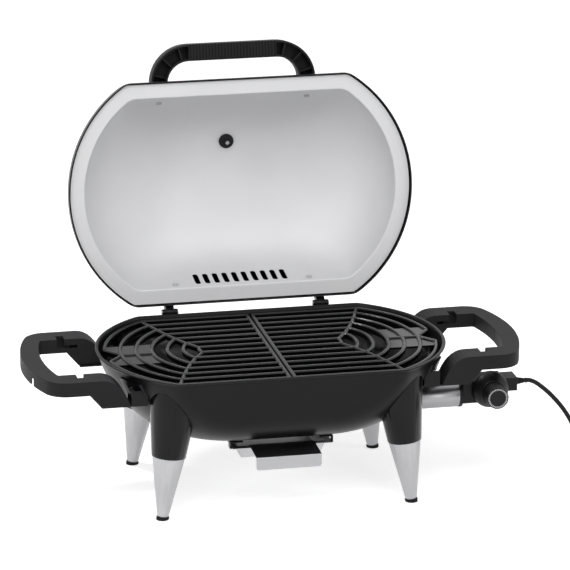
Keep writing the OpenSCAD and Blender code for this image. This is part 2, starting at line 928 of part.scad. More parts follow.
// ---- Hinges ----
ear_t = 5;
ear_gap = 0.3;
hinge_screw_r = 2;
plate_t = 2.5;
plate_low = rim_z - 30;
plate_high = rim_z - 9;
hinge_plate_w = 44;
hinge_screw_off = 17;

// Screws through the bowl's back wall, square to it
module hinge_wall_screw_at(side, end) {
  z = (plate_low + plate_high) / 2;
  translate([side * hinge_x + end * hinge_screw_off, flat_wall_y(z), z])
    rotate([-90 - atan(wall_lean), 0, 0])
      children();
}

module bowl_leaf(side) {
  y_low = flat_wall_y(plate_low) + seat;
  y_high = flat_wall_y(plate_high) + seat;
  difference() {
    union() {
      translate([side * hinge_x - hinge_plate_w / 2, 0, 0])
        rotate([90, 0, 90])
          linear_extrude(hinge_plate_w)
            polygon([
              [y_low, plate_low],
              [y_low + plate_t, plate_low],
              [y_high + plate_t, plate_high],
              [y_high, plate_high]
            ]);
      for (ear = [-1, 1])
        translate([side * hinge_x + ear * (hinge_w - ear_t) / 2 - ear_t / 2, 0, 0])
          rotate([90, 0, 90])
            linear_extrude(ear_t) {
              polygon([
                [y_low + 1, plate_low + 1],
                [hinge_y + 3, hinge_z - knuckle_r + 1],
                [hinge_y - 4, hinge_z - 2],
                [y_high + 4.5, plate_high + 1.5],
                [y_high + 1, plate_high]
              ]);
              translate([hinge_y, hinge_z]) circle(r = knuckle_r);
            }
    }
    translate([side * hinge_x - far / 2, hinge_y, hinge_z])
      rotate([0, 90, 0]) cylinder(h = far, r = hinge_pin_r + pin_clear);
    for (end = [-1, 1])
      hinge_wall_screw_at(side, end)
        cylinder(h = 16, r = hinge_screw_r + play, center = true);
  }
}

module hinge_bowl_leaves() {
  color("#232427") placed()
    for (side = [-1, 1])
      bowl_leaf(side);
}

module hinge_pins() {
  color("#a9abae") placed()
    for (side = [-1, 1])
      translate([side * hinge_x - hinge_w / 2 - 1.2, hinge_y, hinge_z])
        rotate([0, 90, 0]) {
          cylinder(h = hinge_w + 2.4, r = hinge_pin_r);
          for (z = [0, hinge_w + 1.4])
            translate([0, 0, z]) cylinder(h = 1, r = hinge_pin_r + 1.2);
        }
}

module hinge_bowl_screws() {
  color("#8b8d90") placed()
    for (side = [-1, 1], end = [-1, 1])
      hinge_wall_screw_at(side, end)
        translate([0, 0, plate_t + seat + 0.1])
          screw(3.8, 2.2, hinge_screw_r, plate_t + bowl_wall + 1);
}

// ---- Tray rails ----
tray_half = tray_len / 2;
tray_flange_w = 9;
rail_t = 1.5;
hook_len = 12;
rail_gap = 0.8;
rail_web_x = tray_half_w + tray_flange_w + rail_gap;
rail_lip_x = tray_half_w + 3;
tray_top_z = bowl_floor_z - tray_drop;
rail_foot_x = tray_half_w - 9;
rivet_y = 42;
rivet_x = tray_half_w - 3;

module rivet_at(sx, sy) {
  translate([sx * rivet_x, sy * rivet_y, bowl_floor_z]) children();
}

module tray_rail(side) {
  top = bowl_floor_z - seat / 3;
  lip = tray_top_z - tray_wall - seat;
  mirror([side > 0 ? 0 : 1, 0, 0])
    translate([0, tray_half, 0])
      rotate([90, 0, 0])
        linear_extrude(tray_len)
          polygon([
            [rail_foot_x, top],
            [rail_web_x + rail_t, top],
            [rail_web_x + rail_t, lip - rail_t],
            [rail_lip_x, lip - rail_t],
            [rail_lip_x, lip],
            [rail_web_x, lip],
            [rail_web_x, top - rail_t],
            [rail_foot_x, top - rail_t]
          ]);
}

module tray_rails() {
  color("#1f2022") placed()
    difference() {
      for (side = [-1, 1])
        tray_rail(side);
      translate([-far / 2, hook_len - tray_half, bowl_floor_z - rail_t - 60])
        cube([far, tray_len - 2 * hook_len, 60]);
      for (sx = [-1, 1], sy = [-1, 1])
        rivet_at(sx, sy)
          cylinder(h = 30, r = rivet_r + play, center = true);
    }
}

module rail_rivets() {
  head_h = 1.8;
  color("#8b8d90") placed()
    for (sx = [-1, 1], sy = [-1, 1])
      rivet_at(sx, sy) {
        translate([0, 0, bowl_wall + 0.1])
          screw(4.5, head_h, rivet_r, bowl_wall + rail_t + 0.5);
        translate([0, 0, -rail_t - seat / 3 - 0.1])
          rotate([180, 0, 0]) cylinder(h = head_h, r = 4.5);
      }
}

// ---- Grate, in two halves ----
bar_pitch = (bowl_half_d - grate_inset) / (bars_per_side - 0.5);
bar_round = 1.6;
web_t = 3;
web_low = 3;

// Section of a bar, standing on height 0
function bar_points(w, h) = [
  [-w / 2 + 0.6, 0],
  [w / 2 - 0.6, 0],
  [w / 2, h - bar_round],
  [w / 2 - bar_round, h],
  [-w / 2 + bar_round, h],
  [-w / 2, h - bar_round]
];
// Half depth of a ring of bars, counted from the outside
function ring_half(k) = bowl_half_d - grate_inset - k * bar_pitch;
function ring_r(k) = end_r - grate_inset - k * bar_pitch;
function ring_corner(k) = [end_x + sqrt(pow(ring_r(k), 2) - pow(ring_half(k), 2)), ring_half(k)];

// A straight bar from one point in plan to another
module bar_between(a, b, h) {
  run = [b[0] - a[0], b[1] - a[1]];
  translate([a[0], a[1], 0])
    rotate([0, 0, atan2(run[1], run[0])])
      rotate([90, 0, 90])
        linear_extrude(norm(run))
          polygon(bar_points(bar_w, h));
}

// A stretch of a ring, between two angles
module ring_arc(k, from, to) {
  translate([end_x, 0, arc_step])
    rotate([0, 0, from])
      rotate_extrude(angle = to - from)
        translate([ring_r(k), 0])
          polygon(bar_points(bar_w, bar_h - 2 * arc_step));
}

// The flat plate at the end of a half, open outwards in a V for a finger
module grate_web(tip, end) {
  difference() {
    intersection() {
      translate([end_x, 0, web_low]) tube(web_t, ring_r(0), ring_r(3));
      translate([end_x, -web_half, 0]) cube([far, 2 * web_half, bar_h]);
    }
    translate([0, 0, -eps])
      linear_extrude(bar_h)
        polygon([[tip, 0], [end, -notch_half], [far, -notch_half], [far, notch_half], [end, notch_half]]);
  }
}

arc_step = 0.1;
rib_step = 0.4;

module grate_half() {
  middle_x = (half_gap + bar_w) / 2;
  over = 1.2;
  over_turn = 0.9;
  notch_turn = asin(notch_half / ring_r(0));
  notch_tip = end_x + ring_r(1);
  notch_end = end_x + ring_r(0) * cos(notch_turn);
  translate([0, 0, grate_low_z]) {
    for (k = [0 : bars_per_side - 1]) {
      corner = ring_corner(k);
      turn = asin(ring_half(k) / ring_r(k)) + over_turn;
      if (k > 0)
        ring_arc(k, -turn, turn);
      else {
        ring_arc(0, -turn, -notch_turn);
        ring_arc(0, notch_turn, turn);
      }
      for (side = [-1, 1])
        bar_between([middle_x, side * corner[1]], [corner[0] + over, side * corner[1]], bar_h);
    }
    for (k = [0 : bars_per_side - 2], side = [-1, 1]) {
      a = ring_corner(k);
      b = ring_corner(k + 1);
      translate([0, 0, rib_step])
        bar_between([a[0], side * a[1]], [b[0], side * b[1]], bar_h - 2 * rib_step);
    }
    bar_between([middle_x, -ring_half(0) - over], [middle_x, ring_half(0) + over], bar_h);
    for (side = [-1, 1])
      translate([0, 0, rib_step])
        bar_between([notch_tip, 0], [notch_end, side * notch_half], bar_h - 2 * rib_step);
    translate([0, 0, 2 * rib_step])
      bar_between([end_x + ring_r(3), 0], [notch_tip, 0], bar_h - 4 * rib_step);
    grate_web(notch_tip, notch_end);
  }
}

module grate_right() {
  color("#1c1c1e") placed()
    grate_half();
}

module grate_left() {
  color("#1c1c1e") placed()
    mirror([1, 0, 0]) grate_half();
}

// ---- Drip tray ----
tray_taper = 7;
pull_fall = 2.4;

// A tapered trough along Y, as a solid, shrunk by an inset
module tray_block(inset) {
  low = tray_top_z - tray_depth + inset;
  wide = tray_half_w - inset;
  long = tray_half - inset;
  intersection() {
    translate([0, far / 2, 0])
      rotate([90, 0, 0])
        linear_extrude(far)
          polygon([
            [-wide + tray_taper, low], [wide - tray_taper, low],
            [wide, tray_top_z + eps * sign(inset)], [-wide, tray_top_z + eps * sign(inset)]
          ]);
    translate([-far / 2, 0, 0])
      rotate([90, 0, 90])
        linear_extrude(far)
          polygon([
            [-long + tray_taper, low - 1], [long - tray_taper, low - 1],
            [long, tray_top_z + 1], [-long, tray_top_z + 1]
          ]);
  }
}

module drip_tray() {
  flange = tray_half_w + tray_flange_w;
  color("#c4c6c8") placed()
    difference() {
      union() {
        tray_block(0);
        translate([-flange, -tray_half - tray_flange_w, tray_top_z - tray_wall])
          cube([2 * flange, tray_len + 2 * tray_flange_w, tray_wall]);
      }
      tray_block(tray_wall);
    }
}

module tray_pull() {
  front = -tray_half - pull_reach;
  color("#bfc1c3") placed()
    translate([-pull_w / 2, 0, tray_top_z])
      rotate([90, 0, 90])
        linear_extrude(pull_w)
          polygon([
            [1.5 - tray_half, 0],
            [-tray_half - tray_flange_w, 0],
            [front + tray_wall, -pull_fall],
            [front + tray_wall, -pull_fall - pull_h],
            [front, -pull_fall - pull_h],
            [front, tray_wall - pull_fall],
            [-tray_half - tray_flange_w, tray_wall],
            [1.5 - tray_half, tray_wall]
          ]);
}

// ---- Lid ----
// Lid heights are measured up from the flange's underside, with the lid shut.
liner_r = end_r - flange_w;
liner_half = bowl_half_d - flange_w;
shell_lean = 0.1;
liner_lean = 0.12;
wall_curl = 0.003;
dome_steps = 12;
wall_steps = 8;

// Half depth of a flat lid wall at a height
function lid_wall(half, lean, w) = half - lean * w - wall_curl * w * w;
function lid_slope(lean, w) = atan(lean + 2 * wall_curl * w);
function dome_section(r, h) = [
  for (i = [0 : dome_steps])
    let (a = 90 * i / dome_steps)
    [max(1, r * cos(a)), h * sin(a)]
];

// A lid dome as a solid block, with a straight skirt below height 0
module dome_block(r, h, half, lean, skirt) {
  intersection() {
    round_ended(concat([[r, -skirt]], dome_section(r, h)));
    flat_sided(concat(
      [[half, -skirt - 1]],
      [for (i = [0 : wall_steps])
        let (w = h * i / wall_steps)
        [lid_wall(half, lean, w), w]],
      [[lid_wall(half, lean, h), h + 1]]
    ));
  }
}

module shell_block(inset, skirt) {
  translate([0, 0, lid_z])
    dome_block(shell_r - inset, crown_h - inset, shell_half - inset, shell_lean, skirt);
}

module liner_block(inset, skirt) {
  translate([0, 0, lid_z])
    dome_block(liner_r - inset, dome_h - inset, liner_half - inset, liner_lean, skirt);
}

// A row of slots along X, cut through along Y
module slot_row(count, pitch, width, length, y0, y1, z) {
  for (i = [0 : count - 1])
    translate([(i - (count - 1) / 2) * pitch, y1, z])
      rotate([90, 0, 0])
        linear_extrude(y1 - y0) {
          square([width, length - width], center = true);
          for (end = [-1, 1])
            translate([0, end * (length - width) / 2])
              circle(d = width, $fn = 32);
        }
}

// Screw axes square to the lid's walls, front and back
lid_screw_r = 2.5;
lid_screw_x = (lid_handle_w - lid_handle_t) / 2;
hinge_lid_screw_off = 13.5;
lid_screw_z = 14;
front_tilt = lid_slope(liner_lean, lid_handle_z);
back_tilt = lid_slope(liner_lean, lid_screw_z);

module handle_screw_at(side) {
  translate([side * lid_screw_x, -lid_wall(liner_half, liner_lean, lid_handle_z), lid_z + lid_handle_z])
    rotate([90 - front_tilt, 0, 0])
      children();
}

module hinge_screw_at(side) {
  translate([
    side * (hinge_x - hinge_lid_screw_off),
    lid_wall(liner_half, liner_lean, lid_screw_z),
    lid_z + lid_screw_z
  ])
    rotate([back_tilt - 90, 0, 0])
      children();
}

module lid_screw_holes() {
  for (side = [-1, 1]) {
    handle_screw_at(side)
      translate([0, 0, -10]) cylinder(h = 50, r = lid_screw_r + play);
    hinge_screw_at(side)
      translate([0, 0, -10]) cylinder(h = 50, r = lid_screw_r + play);
  }
}

module lid_shell() {
  color("#232427") lid_placed()
    difference() {
      shell_block(0, skirt_h);
      shell_block(shell_wall, skirt_h + 5);
      slot_row(vents, vent_pitch, vent_w, vent_len - 8, 60, far / 2, lid_z + vent_z);
      lid_screw_holes();
      gauge_at()
        cylinder(h = 80, r = stem_r + play, center = true);
    }
}

module lid_liner() {
  edge = skirt_gap - seat;
  color("#c9cbcd") lid_placed()
    difference() {
      union() {
        liner_block(-liner_wall, 0);
        translate([0, 0, lid_z]) rim_plate(edge, 0, liner_wall);
      }
      liner_block(0, 5);
      slot_row(vents, vent_pitch, vent_w, vent_len, 60, far / 2, lid_z + vent_z);
      lid_screw_holes();
      gauge_at()
        cylinder(h = 80, r = stem_r + play, center = true);
    }
}

// ---- Lid handle ----
lid_handle_mid_z = lid_z + lid_handle_z;
lid_handle_front = lid_wall(shell_half, shell_lean, lid_handle_z) + lid_handle_reach;
groove_w = 2.4;
groove_depth = 1.8;
handle_rib = 2.4;

// Plan of the handle's outer edge; the feet end inside the lid's wall
function bow_plan(half, front, corner, back) = concat(
  [[-half, -back]],
  arc_points(-half + corner, -front + corner, corner, 180, 270, 12),
  arc_points(half - corner, -front + corner, corner, 270, 360, 12),
  [[half, -back]]
);

module bow_section(inset) {
  half = lid_handle_w / 2;
  inner_r = lid_handle_r - lid_handle_t;
  difference() {
    polygon(bow_plan(half - inset, lid_handle_front - inset, lid_handle_r - inset, 100));
    polygon(bow_plan(
      half - lid_handle_t + inset,
      lid_handle_front - lid_handle_t + inset,
      inner_r + inset,
      90
    ));
  }
}

module lid_handle() {
  low = lid_handle_mid_z - lid_handle_h / 2;
  half = lid_handle_w / 2;
  grip_pitch = grip_w / grip_ribs;
  color("#1d1e20") lid_placed()
    difference() {
      translate([0, 0, low])
        linear_extrude(lid_handle_h) bow_section(0);
      difference() {
        translate([0, 0, low - eps])
          linear_extrude(lid_handle_h - lid_handle_wall + eps)
            bow_section(lid_handle_wall);
        translate([-grip_w / 2, -far / 2, low - 1])
          cube([grip_w, far / 2, far]);
        for (side = [-1, 1], turn = [15, 45, 75])
          translate([side * (half - lid_handle_r), -lid_handle_front + lid_handle_r, low + 4])
            rotate([0, 0, side > 0 ? -turn : 180 + turn])
              translate([0, -handle_rib / 2, 0])
                cube([far / 4, handle_rib, far]);
        for (side = [-1, 1])
          handle_screw_at(side)
            cylinder(h = 60, r = 6.5);
      }
      for (i = [0 : grip_ribs - 1])
        translate([
          (i - (grip_ribs - 1) / 2) * grip_pitch - groove_w / 2,
          -lid_handle_front - 1,
          low - 1
        ])
          cube([groove_w, lid_handle_t + 2, groove_depth + 1]);
      shell_block(-seat, skirt_h);
      for (side = [-1, 1])
        handle_screw_at(side)
          cylinder(h = lid_bolt_len - 2, r = lid_screw_r + 0.05);
    }
}
wall_space = (lid_wall(shell_half, shell_lean, lid_handle_z) - shell_wall
  - lid_wall(liner_half, liner_lean, lid_handle_z) - liner_wall) * cos(front_tilt);
back_space = (lid_wall(shell_half, shell_lean, lid_screw_z) - shell_wall
  - lid_wall(liner_half, liner_lean, lid_screw_z) - liner_wall) * cos(back_tilt);
lid_bolt_len = liner_wall + wall_space + shell_wall + 16;

module lid_handle_screws() {
  color("#d2d4d6") lid_placed()
    for (side = [-1, 1])
      handle_screw_at(side)
        translate([0, 0, -0.3])
          rotate([180, 0, 0]) screw(4.5, 2.6, lid_screw_r, lid_bolt_len - 3);
}

// Tubes that hold the lid's walls apart
module lid_spacers() {
  spacer_gap = 0.6;
  color("#97999c") lid_placed()
    for (side = [-1, 1]) {
      handle_screw_at(side)
        translate([0, 0, liner_wall + spacer_gap])
          tube(wall_space - 2.5 * spacer_gap, 5, lid_screw_r + play);
      hinge_screw_at(side)
        translate([0, 0, liner_wall + spacer_gap])
          tube(back_space - 2.5 * spacer_gap, 5, lid_screw_r + play);
    }
}

// ---- Lid leaves of the hinges ----
leaf_top = 24;
knuckle_w = hinge_w - 2 * ear_t - 2 * ear_gap;

module lid_leaf(side) {
  y2 = lid_wall(shell_half, shell_lean, 2) + seat;
  y_top = lid_wall(shell_half, shell_lean, leaf_top) + seat;
  inner = hinge_x - hinge_lid_screw_off - 6;
  outer = hinge_x + hinge_w / 2;
  difference() {
    union() {
      translate([side > 0 ? inner : -outer, 0, 0])
        rotate([90, 0, 90])
          linear_extrude(outer - inner)
            polygon([
              [y2, lid_z + 2],
              [y2 + plate_t, lid_z + 2],
              [y_top + plate_t, lid_z + leaf_top],
              [y_top, lid_z + leaf_top]
            ]);
      translate([side * hinge_x - knuckle_w / 2, 0, 0])
        rotate([90, 0, 90])
          linear_extrude(knuckle_w) {
            polygon([
              [y2 + 0.5, lid_z + 2.5],
              [hinge_y - 4, hinge_z - 2.5],
              [hinge_y + 3, hinge_z + 4],
              [y_top + 1, lid_z + leaf_top - 2]
            ]);
            translate([hinge_y, hinge_z]) circle(r = knuckle_r);
          }
    }
    translate([side * hinge_x - far / 2, hinge_y, hinge_z])
      rotate([0, 90, 0]) cylinder(h = far, r = hinge_pin_r + pin_clear);
    hinge_screw_at(side)
      cylinder(h = 60, r = lid_screw_r + play);
    shell_block(-seat / 2, skirt_h);
  }
}

module hinge_lid_leaves() {
  color("#232427") lid_placed()
    for (side = [-1, 1])
      lid_leaf(side);
}

module hinge_lid_screws() {
  reach = liner_wall + back_space + shell_wall + plate_t;
  nut_h = 3.5;
  color("#d2d4d6") lid_placed()
    for (side = [-1, 1])
      hinge_screw_at(side) {
        translate([0, 0, -0.3])
          rotate([180, 0, 0]) screw(4.5, 2.6, lid_screw_r, reach + nut_h + 2);
        translate([0, 0, reach + 0.9]) cylinder(h = nut_h, r = 4.6, $fn = 6);
      }
}

// ---- Thermometer in the lid ----
dial_z = 6;
lens_t = 1.6;
bezel_wall = 2;
needle_z = dial_z + 1.6;

// The gauge's axis, square to the lid, from the shell's surface outwards
module gauge_at() {
  translate([0, -gauge_y, lid_z + gauge_w])
    rotate([gauge_tilt, 0, 0])
      children();
}

module thermometer_housing() {
  color("#b4b6b9") lid_placed()
    difference() {
      gauge_at()
        difference() {
          translate([0, 0, -3]) cylinder(h = gauge_h + 3, r = gauge_r);
          translate([0, 0, 3])
            cylinder(h = gauge_h, r = gauge_r - bezel_wall - 1.5);
          translate([0, 0, dial_z])
            cylinder(h = gauge_h, r = gauge_r - bezel_wall);
          cylinder(h = 30, r = stem_r + play, center = true);
        }
      shell_block(-seat, skirt_h);
    }
}

module thermometer_dial() {
  color("#e8e8e6") lid_placed()
    gauge_at()
      translate([0, 0, dial_z + 0.1])
        tube(0.8, gauge_r - bezel_wall - 0.2, 1.4);
}

module thermometer_lens() {
  color("#dfe6ea") lid_placed()
    gauge_at()
      translate([0, 0, gauge_h - lens_t - 0.4])
        cylinder(h = lens_t, r = gauge_r - bezel_wall - 0.1);
}

stem_tip = -(crown_gap + shell_wall + liner_wall + 14);
spindle_r = 1;

module thermometer_stem() {
  color("#c9cbcd") lid_placed()
    gauge_at() {
      translate([0, 0, stem_tip])
        cylinder(h = dial_z - 1 - stem_tip, r = stem_r);
      cylinder(h = gauge_h - lens_t - 1, r = spindle_r);
    }
}

module thermometer_nut() {
  nut_top = -(crown_gap + shell_wall + liner_wall) - 1.2;
  color("#1b1b1c") lid_placed()
    intersection() {
      gauge_at()
        translate([0, 0, nut_top - 4]) tube(8, nut_r, stem_r + 0.1);
      liner_block(seat, 0);
    }
}

module thermometer_needle() {
  color("#c03a2b") lid_placed()
    gauge_at()
      translate([0, 0, needle_z])
        difference() {
          union() {
            cylinder(h = 1.2, r = 2.4);
            linear_extrude(1.2)
              polygon([[-1, -6], [1, -6], [0.5, gauge_r - 8], [-0.5, gauge_r - 8]]);
          }
          translate([0, 0, -eps]) cylinder(h = 3, r = spindle_r + pin_clear);
        }
}

// ---- Heat control, which plugs into the sleeve ----
collar_len = 4.5;
collar_gap = 0.3;
collar_x = sleeve_end_x + collar_gap;
box_x = collar_x + collar_len;
box_front = -sleeve_y - 20;
box_back = box_front + box_d;
box_low = knob_z - 22;
tail_len = 23;
tail_w = 31.5;
tail_h = 20.8;
tail_x = box_x + box_w;
split_y = box_front + 25;
split_gap = 0.1;
socket_r = 4;
socket_x = sleeve_end_x - 31.5;
probe_r = 2.5;
probe_rise = 10;
probe_x = socket_x - 4;
shaft_r = 3;
shaft_clear = 0.05;
relief_len = 22;
relief_r = 6;
relief_x = tail_x + tail_len - case_wall - 0.9;
screw_boss_r = 3.6;
case_screw_r = 1.5;
case_screws = [
  [box_x + 18, box_low + 6.5],
  [box_x + 6.5, box_low + box_h - 6.5],
  [tail_x - 6.5, box_low + 6.5],
  [tail_x - 6.5, box_low + box_h - 6.5]
];

module control_block(inset) {
  translate([box_x + inset, box_front + inset, box_low + inset])
    cube([box_w - 2 * inset, box_d - 2 * inset, box_h - 2 * inset]);
  translate([tail_x - 6, box_back - tail_w + inset, knob_z - tail_h / 2 + inset])
    cube([tail_len + 6 - inset, tail_w - 2 * inset, tail_h - 2 * inset]);
}

// Turned shapes about the knob's axis, from the box's front
module knob_axis() {
  translate([knob_x, box_front, knob_z])
    rotate([90, 0, 0])
      children();
}

bezel_neck = knob_r + 2;
module bezel_turned(inset) {
  r = bezel_r - inset;
  neck = bezel_neck - inset;
  rotate_extrude()
    polygon([
      [0, -1],
      [r, -1],
      [r, 6],
      [neck + 0.82 * (r - neck), 10.5],
      [neck + 0.55 * (r - neck), 14.5],
      [neck + 0.25 * (r - neck), 18],
      [neck, 21],
      [neck, bezel_len],
      [0, bezel_len]
    ]);
}

module control_holes() {
  for (side = [-1, 1])
    translate([0, -sleeve_y + side * pin_gap, sleeve_z])
      rotate([0, 90, 0]) cylinder(h = box_x + 10, r = socket_r + 0.1);
  translate([0, -sleeve_y, sleeve_z + probe_rise])
    rotate([0, 90, 0]) cylinder(h = box_x + 10, r = probe_r + 0.1);
  translate([tail_x, box_back - tail_w / 2, knob_z])
    rotate([0, 90, 0]) cylinder(h = 100, r = relief_r - 1);
}

module case_screw_holes(r) {
  for (p = case_screws)
    translate([p[0], far / 2, p[1]])
      rotate([90, 0, 0]) cylinder(h = far, r = r);
}

// Both halves of the case, before they are split
module control_case() {
  difference() {
    union() {
      difference() {
        control_block(0);
        control_block(case_wall);
      }
      intersection() {
        control_block(1);
        case_screw_holes(screw_boss_r);
      }
    }
    control_holes();
  }
}

// The collar that fits over the sleeve's end
module control_collar() {
  difference() {
    translate([collar_x, -sleeve_y, sleeve_z])
      rotate([0, 90, 0])
        difference() {
          cylinder(h = collar_len + eps, r = sleeve_r + 0.6);
          translate([0, 0, -eps])
            cylinder(h = collar_len - 1.5, r = sleeve_r - 4);
        }
    control_holes();
  }
}

module control_housing() {
  color("#232426") placed() {
    difference() {
      intersection() {
        union() {
          control_case();
          control_collar();
        }
        translate([0, split_y - split_gap - far, 0]) cube([far, far, far]);
      }
      knob_axis()
        translate([0, 0, -case_wall - eps])
          cylinder(h = 10, r = bezel_neck - case_wall - 4);
      intersection() {
        case_screw_holes(case_screw_r + 0.05);
        translate([0, box_front + 4, 0]) cube(far);
      }
    }
    knob_axis()
      difference() {
        bezel_turned(0);
        intersection() {
          bezel_turned(case_wall);
          translate([0, 0, case_wall - 1])
            cylinder(h = bezel_len - 2 * case_wall + 1, r = bezel_r);
        }
        translate([0, 0, -2])
          cylinder(h = case_wall + 3, r = bezel_neck - case_wall - 4);
        cylinder(h = bezel_len + eps, r = shaft_r + 0.3);
      }
  }
}

// Screw holes in the front half stop short of its face
module control_cover() {
  color("#232426") placed()
    difference() {
      intersection() {
        union() {
          control_case();
          control_collar();
        }
        translate([0, split_y, 0]) cube([far, far, far]);
      }
      case_screw_holes(case_screw_r + play);
    }
}

module housing_screws() {
  color("#8b8d90") placed()
    for (p = case_screws)
      translate([p[0], box_back + 0.1, p[1]])
        rotate([-90, 0, 0]) screw(3, 1.8, case_screw_r, box_back - box_front - 6);
}

module contact_sockets() {
  color("#b08d4a") placed()
    for (side = [-1, 1])
      translate([socket_x, -sleeve_y + side * pin_gap, sleeve_z])
        rotate([0, 90, 0])
          tube(box_x + 12 - socket_x, socket_r, heater_pin_r + 0.1);
}

module sensor_probe() {
  color("#c4c6c8") placed()
    translate([probe_x, -sleeve_y, sleeve_z + probe_rise])
      rotate([0, 90, 0]) cylinder(h = box_x + 12 - probe_x, r = probe_r);
}

switch_w = 26;
switch_d = 14;
switch_h = 20;
module thermostat_switch() {
  color("#d8d3c4") placed()
    difference() {
      translate([knob_x - switch_w / 2, box_front + case_wall + 0.3, knob_z - switch_h / 2])
        cube([switch_w, switch_d, switch_h]);
      knob_axis()
        translate([0, 0, -40]) cylinder(h = 60, r = shaft_r + shaft_clear);
    }
}

module strain_relief() {
  color("#1b1b1c") placed()
    translate([relief_x, box_back - tail_w / 2, knob_z])
      rotate([0, 90, 0])
        difference() {
          rotate_extrude()
            polygon([
              [0, -1.6],
              [relief_r, -1.6],
              [relief_r, 0.6],
              [relief_r - 1.2, 0.6],
              [relief_r - 1.2, case_wall + 1.2],
              [relief_r, case_wall + 1.2],
              [relief_r, case_wall + 5],
              [cord_d / 2 + 1, relief_len],
              [0, relief_len]
            ]);
          translate([0, 0, -3])
            cylinder(h = relief_len, r = cord_d / 2 + 0.1);
        }
}

flutes = 28;
flute_depth = 0.5;
module thermostat_knob() {
  hub_len = knob_len - 4;
  color("#1d1e20") placed()
    knob_axis()
      translate([0, 0, bezel_len + 0.4])
        difference() {
          linear_extrude(knob_len)
            polygon([
              for (i = [0 : 8 * flutes - 1])
                let (a = 360 * i / (8 * flutes))
                (knob_r - flute_depth * (1 - cos(a * flutes)) / 2) * [cos(a), sin(a)]
            ]);
          difference() {
            translate([0, 0, -eps])
              cylinder(h = hub_len - 2, r = knob_r - 2.6);
            cylinder(h = knob_len, r = 6);
          }
          translate([0, 0, -eps]) cylinder(h = hub_len, r = shaft_r + 0.02);
          translate([0, 0, knob_len - ring_t])
            tube(ring_t + eps, ring_out_r + 0.1, ring_in_r - 0.1);
        }
}

ring_t = 1.2;
ring_out_r = knob_r - 1.8;
ring_in_r = knob_r - 4.2;
module knob_ring() {
  color("#c9cbcd") placed()
    knob_axis()
      translate([0, 0, bezel_len + 0.4 + knob_len - ring_t + 0.1])
        tube(ring_t, ring_out_r, ring_in_r);
}

module knob_shaft() {
  color("#b4b6b9") placed()
    knob_axis()
      translate([0, 0, -case_wall - 10])
        cylinder(h = case_wall + 10 + bezel_len + knob_len - 5, r = shaft_r);
}

// ---- Mains cord ----
// A loose stretch, its coil, and a short tail to the plug
cord_r = cord_d / 2;
cord_start_x = relief_x + relief_len;
cord_y = box_back - tail_w / 2;
// Points of the loose stretch, from the strain relief
cord_route = [
  [0, 0, 0], [6, 0, -0.6], [14, 0, -4.3], [22, 0, -10], [38, 0, -24.4], [57.5, 0, -47],
  [73, 0, -71.5], [88.5, 0, -103.5], [97, 0.2, -120], [107, 0.8, -134], [119, 2, -144],
  [133, 3.3, -149.8], [149, 3.75, cord_r - knob_z]
];
coil_x = cord_start_x + 166;
coil_y = cord_y + 3.75 - 49;
coil_low_turns = 3;
plug_x = coil_x - 61;
plug_y = coil_y - 49;
plug_z = 18.5;
tail_route = [
  [plug_x + 46, plug_y + 3.5, 9.5],
  [plug_x + 36, plug_y + 3, 10],
  [plug_x + 25, plug_y + 2, 13],
  [plug_x + 16, plug_y + 1, 16.4],
  [plug_x + 9, plug_y, plug_z - 0.2],
  [plug_x, plug_y, plug_z]
];
cord_sides = 10;

// A smooth curve through four points, by the share t of the middle stretch
function curve(a, b, c, d, t) = 0.5 * (
  2 * b + (c - a) * t + (2 * a - 5 * b + 4 * c - d) * t * t + (3 * b - a - 3 * c + d) * t * t * t
);
function at(points, i) = points[max(0, min(len(points) - 1, i))];
function smooth(points, steps) = concat(
  [
    for (i = [0 : len(points) - 2], j = [0 : steps - 1])
      curve(at(points, i - 1), points[i], points[i + 1], at(points, i + 2), j / steps)
  ],
  [points[len(points) - 1]]
);
function unit(v) = v / norm(v);
function ring(p, along, r) =
  let (
    side = unit(cross(along, [0.01, 1, 0.02])),
    up = cross(side, along)
  )
  [for (k = [0 : cord_sides - 1])
    let (a = 360 * k / cord_sides)
    p + r * cos(a) * side + r * sin(a) * up];

// A closed tube along a list of points
module cord_tube(points, r) {
  n = len(points);
  s = cord_sides;
  rings = [
    for (i = [0 : n - 1])
      ring(points[i], unit(at(points, i + 1) - at(points, i - 1)), r)
  ];
  polyhedron(
    points = [for (one = rings) for (p = one) p],
    faces = concat(
      [[for (k = [0 : s - 1]) k]],
      [for (i = [0 : n - 2], k = [0 : s - 1])
        [i * s + k, (i + 1) * s + k, (i + 1) * s + (k + 1) % s, i * s + (k + 1) % s]],
      [[for (k = [s - 1 : -1 : 0]) (n - 1) * s + k]]
    )
  );
}

module cord() {
  color("#1a1a1b") placed() {
    translate([cord_start_x, cord_y, knob_z])
      cord_tube(smooth(cord_route, 3), cord_r);
    cord_tube(smooth(tail_route, 2), cord_r);
  }
}

// The coil as one closed ring: three turns below and two above
module cord_coil() {
  mid = coil_d / 2;
  half = coil_low_turns * cord_d / 2;
  color("#1a1a1b") placed()
    translate([coil_x, coil_y, 0])
      rotate_extrude()
        polygon([
          [mid - half, 0],
          [mid + half, 0],
          [mid + half, cord_d - 1],
          [mid + half - cord_d / 2, 1.87 * cord_d],
          [mid - half + cord_d / 2, 1.87 * cord_d],
          [mid - half, cord_d - 1]
        ]);
}

tie_w = 6;
tie_t = 1;
module cord_tie() {
  mid = coil_d / 2;
  half = coil_low_turns * cord_d / 2;
  high = 1.87 * cord_d;
  color("#2c2d30") placed()
    translate([coil_x + mid - half - tie_t - seat, coil_y - tie_w / 2, 0])
      difference() {
        cube([2 * (half + tie_t + seat), tie_w, high + tie_t + seat]);
        translate([tie_t, -eps, -eps])
          cube([2 * (half + seat), tie_w + 2 * eps, high + seat + eps]);
      }
}

